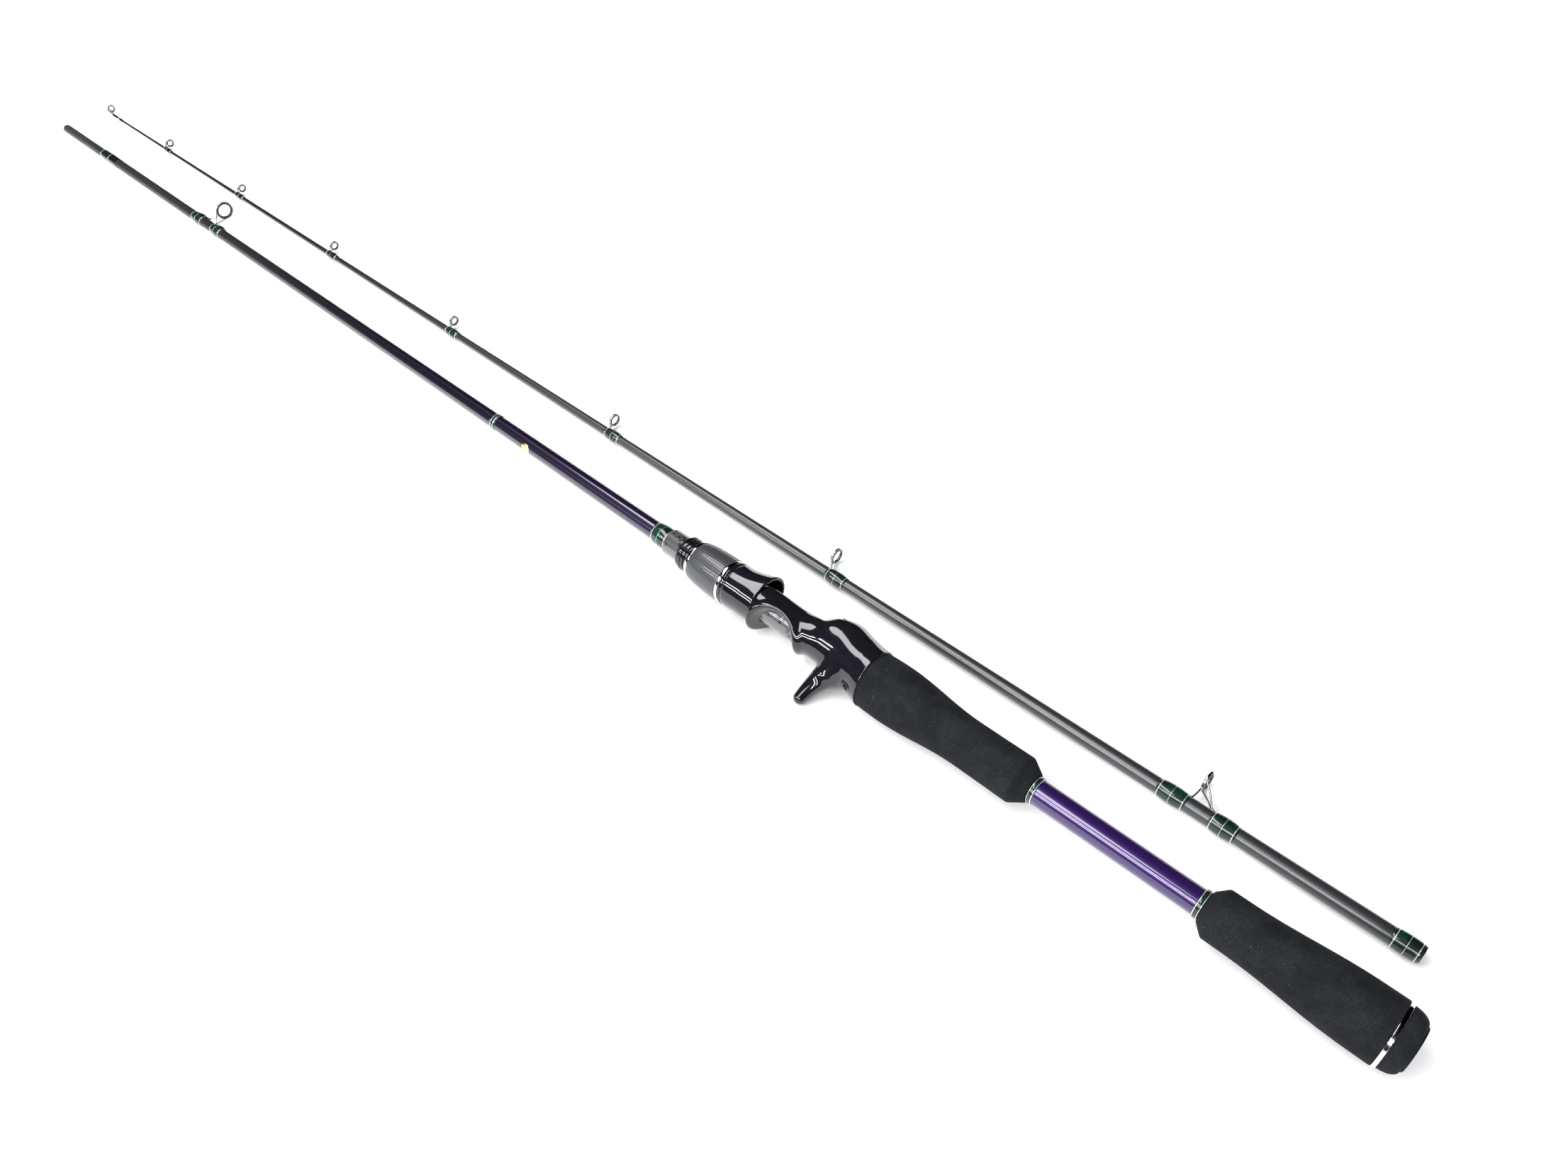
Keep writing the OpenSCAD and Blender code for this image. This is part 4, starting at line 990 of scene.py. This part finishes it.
def hoodRadius(depth, angle, r):
    # a circle of radius r raised by up(depth), never inside the plain circle
    up = hood["rise"] * np.clip(1 - depth / hood["reach"], 0, 1) ** 1.5
    raised = up * np.cos(angle) + np.sqrt(np.maximum(r * r - (up * np.sin(angle)) ** 2, 0.1))
    return -joined(-raised, -r + 0 * raised, 0.5) - 0.125


# outside, from the nut's end with its groove to the mouth; then the lip, and the inside back
depth = np.concatenate([[hood["length"], hood["length"], 22.35, 22.0, 20.9, 20.75, 20.6, 20.1, 19.95, 19.8],
                        np.linspace(19.2, hood["mouth"], 34)])
drop = np.concatenate([[0.9, 0.35, 0.1, 0.0, 0.0, 0.25, 0.4, 0.4, 0.25, 0.0], np.zeros(34)])
angle = (np.arange(128) * 2 * np.pi / 128)[None]
inside = hood["radius"] - hood["wall"]
outer = hoodRadius(depth[:, None], angle, hood["radius"]) - drop[:, None]
lip = np.linspace(0, np.pi, 12)[1:-1]
rimOut, rimIn = hoodRadius(hood["mouth"], angle, hood["radius"]), hoodRadius(hood["mouth"], angle, inside)
lipRadius = (rimOut + rimIn) / 2 + (rimOut - rimIn) / 2 * np.cos(lip)[:, None]
lipDepth = hood["mouth"] - 0.88 * np.sin(lip)
cavity = np.linspace(hood["mouth"], 8.0, 12)
inDepth = np.concatenate([cavity, [8.8, 9.2, 9.4, hood["length"]]])
inRadius = np.concatenate([hoodRadius(cavity[:, None], angle, inside), hoodRadius(8.8, angle, 10.2),
                           0 * angle + 10.0, 0 * angle + hood["bore"], 0 * angle + hood["bore"]])
radius = np.concatenate([outer, lipRadius, inRadius])
deep = np.concatenate([depth, lipDepth, inDepth])[:, None]
p = place(buttRod, hood["rear"] + deep + 0 * angle, radius * np.cos(angle), radius * np.sin(angle))
makePiece("slidingHood", [(p, gridFaces(len(deep), 128, True, True))], finishes["black"], "hood",
          ["sliding_hood"])
dress("hood_liner", finishes["nylon"])
print("nut and hood made")

# floor, lights and camera

bpy.ops.mesh.primitive_plane_add(size=30)
floor = bpy.context.object
floor.name = "floor"
paper = Finish("paper", rough=0.9, specular=0.1)
grainy = paper.noise(14.0, 3.0)
paper.put(colour=paper.mixed(grainy, (0.93, 0.93, 0.935), (0.955, 0.955, 0.96)))
floor.data.materials.append(paper.material)
floor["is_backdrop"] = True

world = bpy.data.worlds.new("studio")
bpy.context.scene.world = world
world.use_nodes = True
world.node_tree.nodes["Background"].inputs[0].default_value = (0.97, 0.98, 1.0, 1)
world.node_tree.nodes["Background"].inputs[1].default_value = 0.75
world.cycles_visibility.glossy = False


def softbox(name, at, aim, width, height, power):
    light = bpy.data.lights.new(name, "AREA")
    light.shape, light.size, light.size_y, light.energy = "RECTANGLE", width, height, power
    lamp = bpy.data.objects.new(name, light)
    bpy.context.scene.collection.objects.link(lamp)
    lamp.location = at
    lamp.rotation_euler = (Vector(aim) - Vector(at)).to_track_quat("-Z", "Y").to_euler()


softbox("ceilingPanel", (-0.45, -0.4, 1.6), (0, 0, 0), 1.9, 0.5, 27)
softbox("upperTube", (0.1, -1.5, 1.25), (0.2, 0, 0), 2.6, 0.1, 24)
softbox("lowerTube", (0.1, -1.8, 0.98), (0.2, 0, 0), 2.6, 0.1, 24)

view = {"at": (0.56708, -0.31871, 0.44022), "right": (0.72464, 0.68913, 0.0),
        "up": (-0.48275, 0.50763, 0.71363), "back": (0.49178, -0.51713, 0.70052), "lens": 27.016}
camera = bpy.data.objects.new("camera", bpy.data.cameras.new("camera"))
bpy.context.scene.collection.objects.link(camera)
turn = Matrix([view["right"], view["up"], view["back"]]).transposed().to_4x4()
camera.matrix_world = Matrix.Translation(view["at"]) @ turn
camera.data.lens, camera.data.sensor_width = view["lens"], 36
camera.data.clip_start, camera.data.clip_end = 0.01, 50
bpy.context.scene.camera = camera
bpy.context.scene.view_settings.view_transform = "Standard"
print("stage set")

low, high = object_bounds()
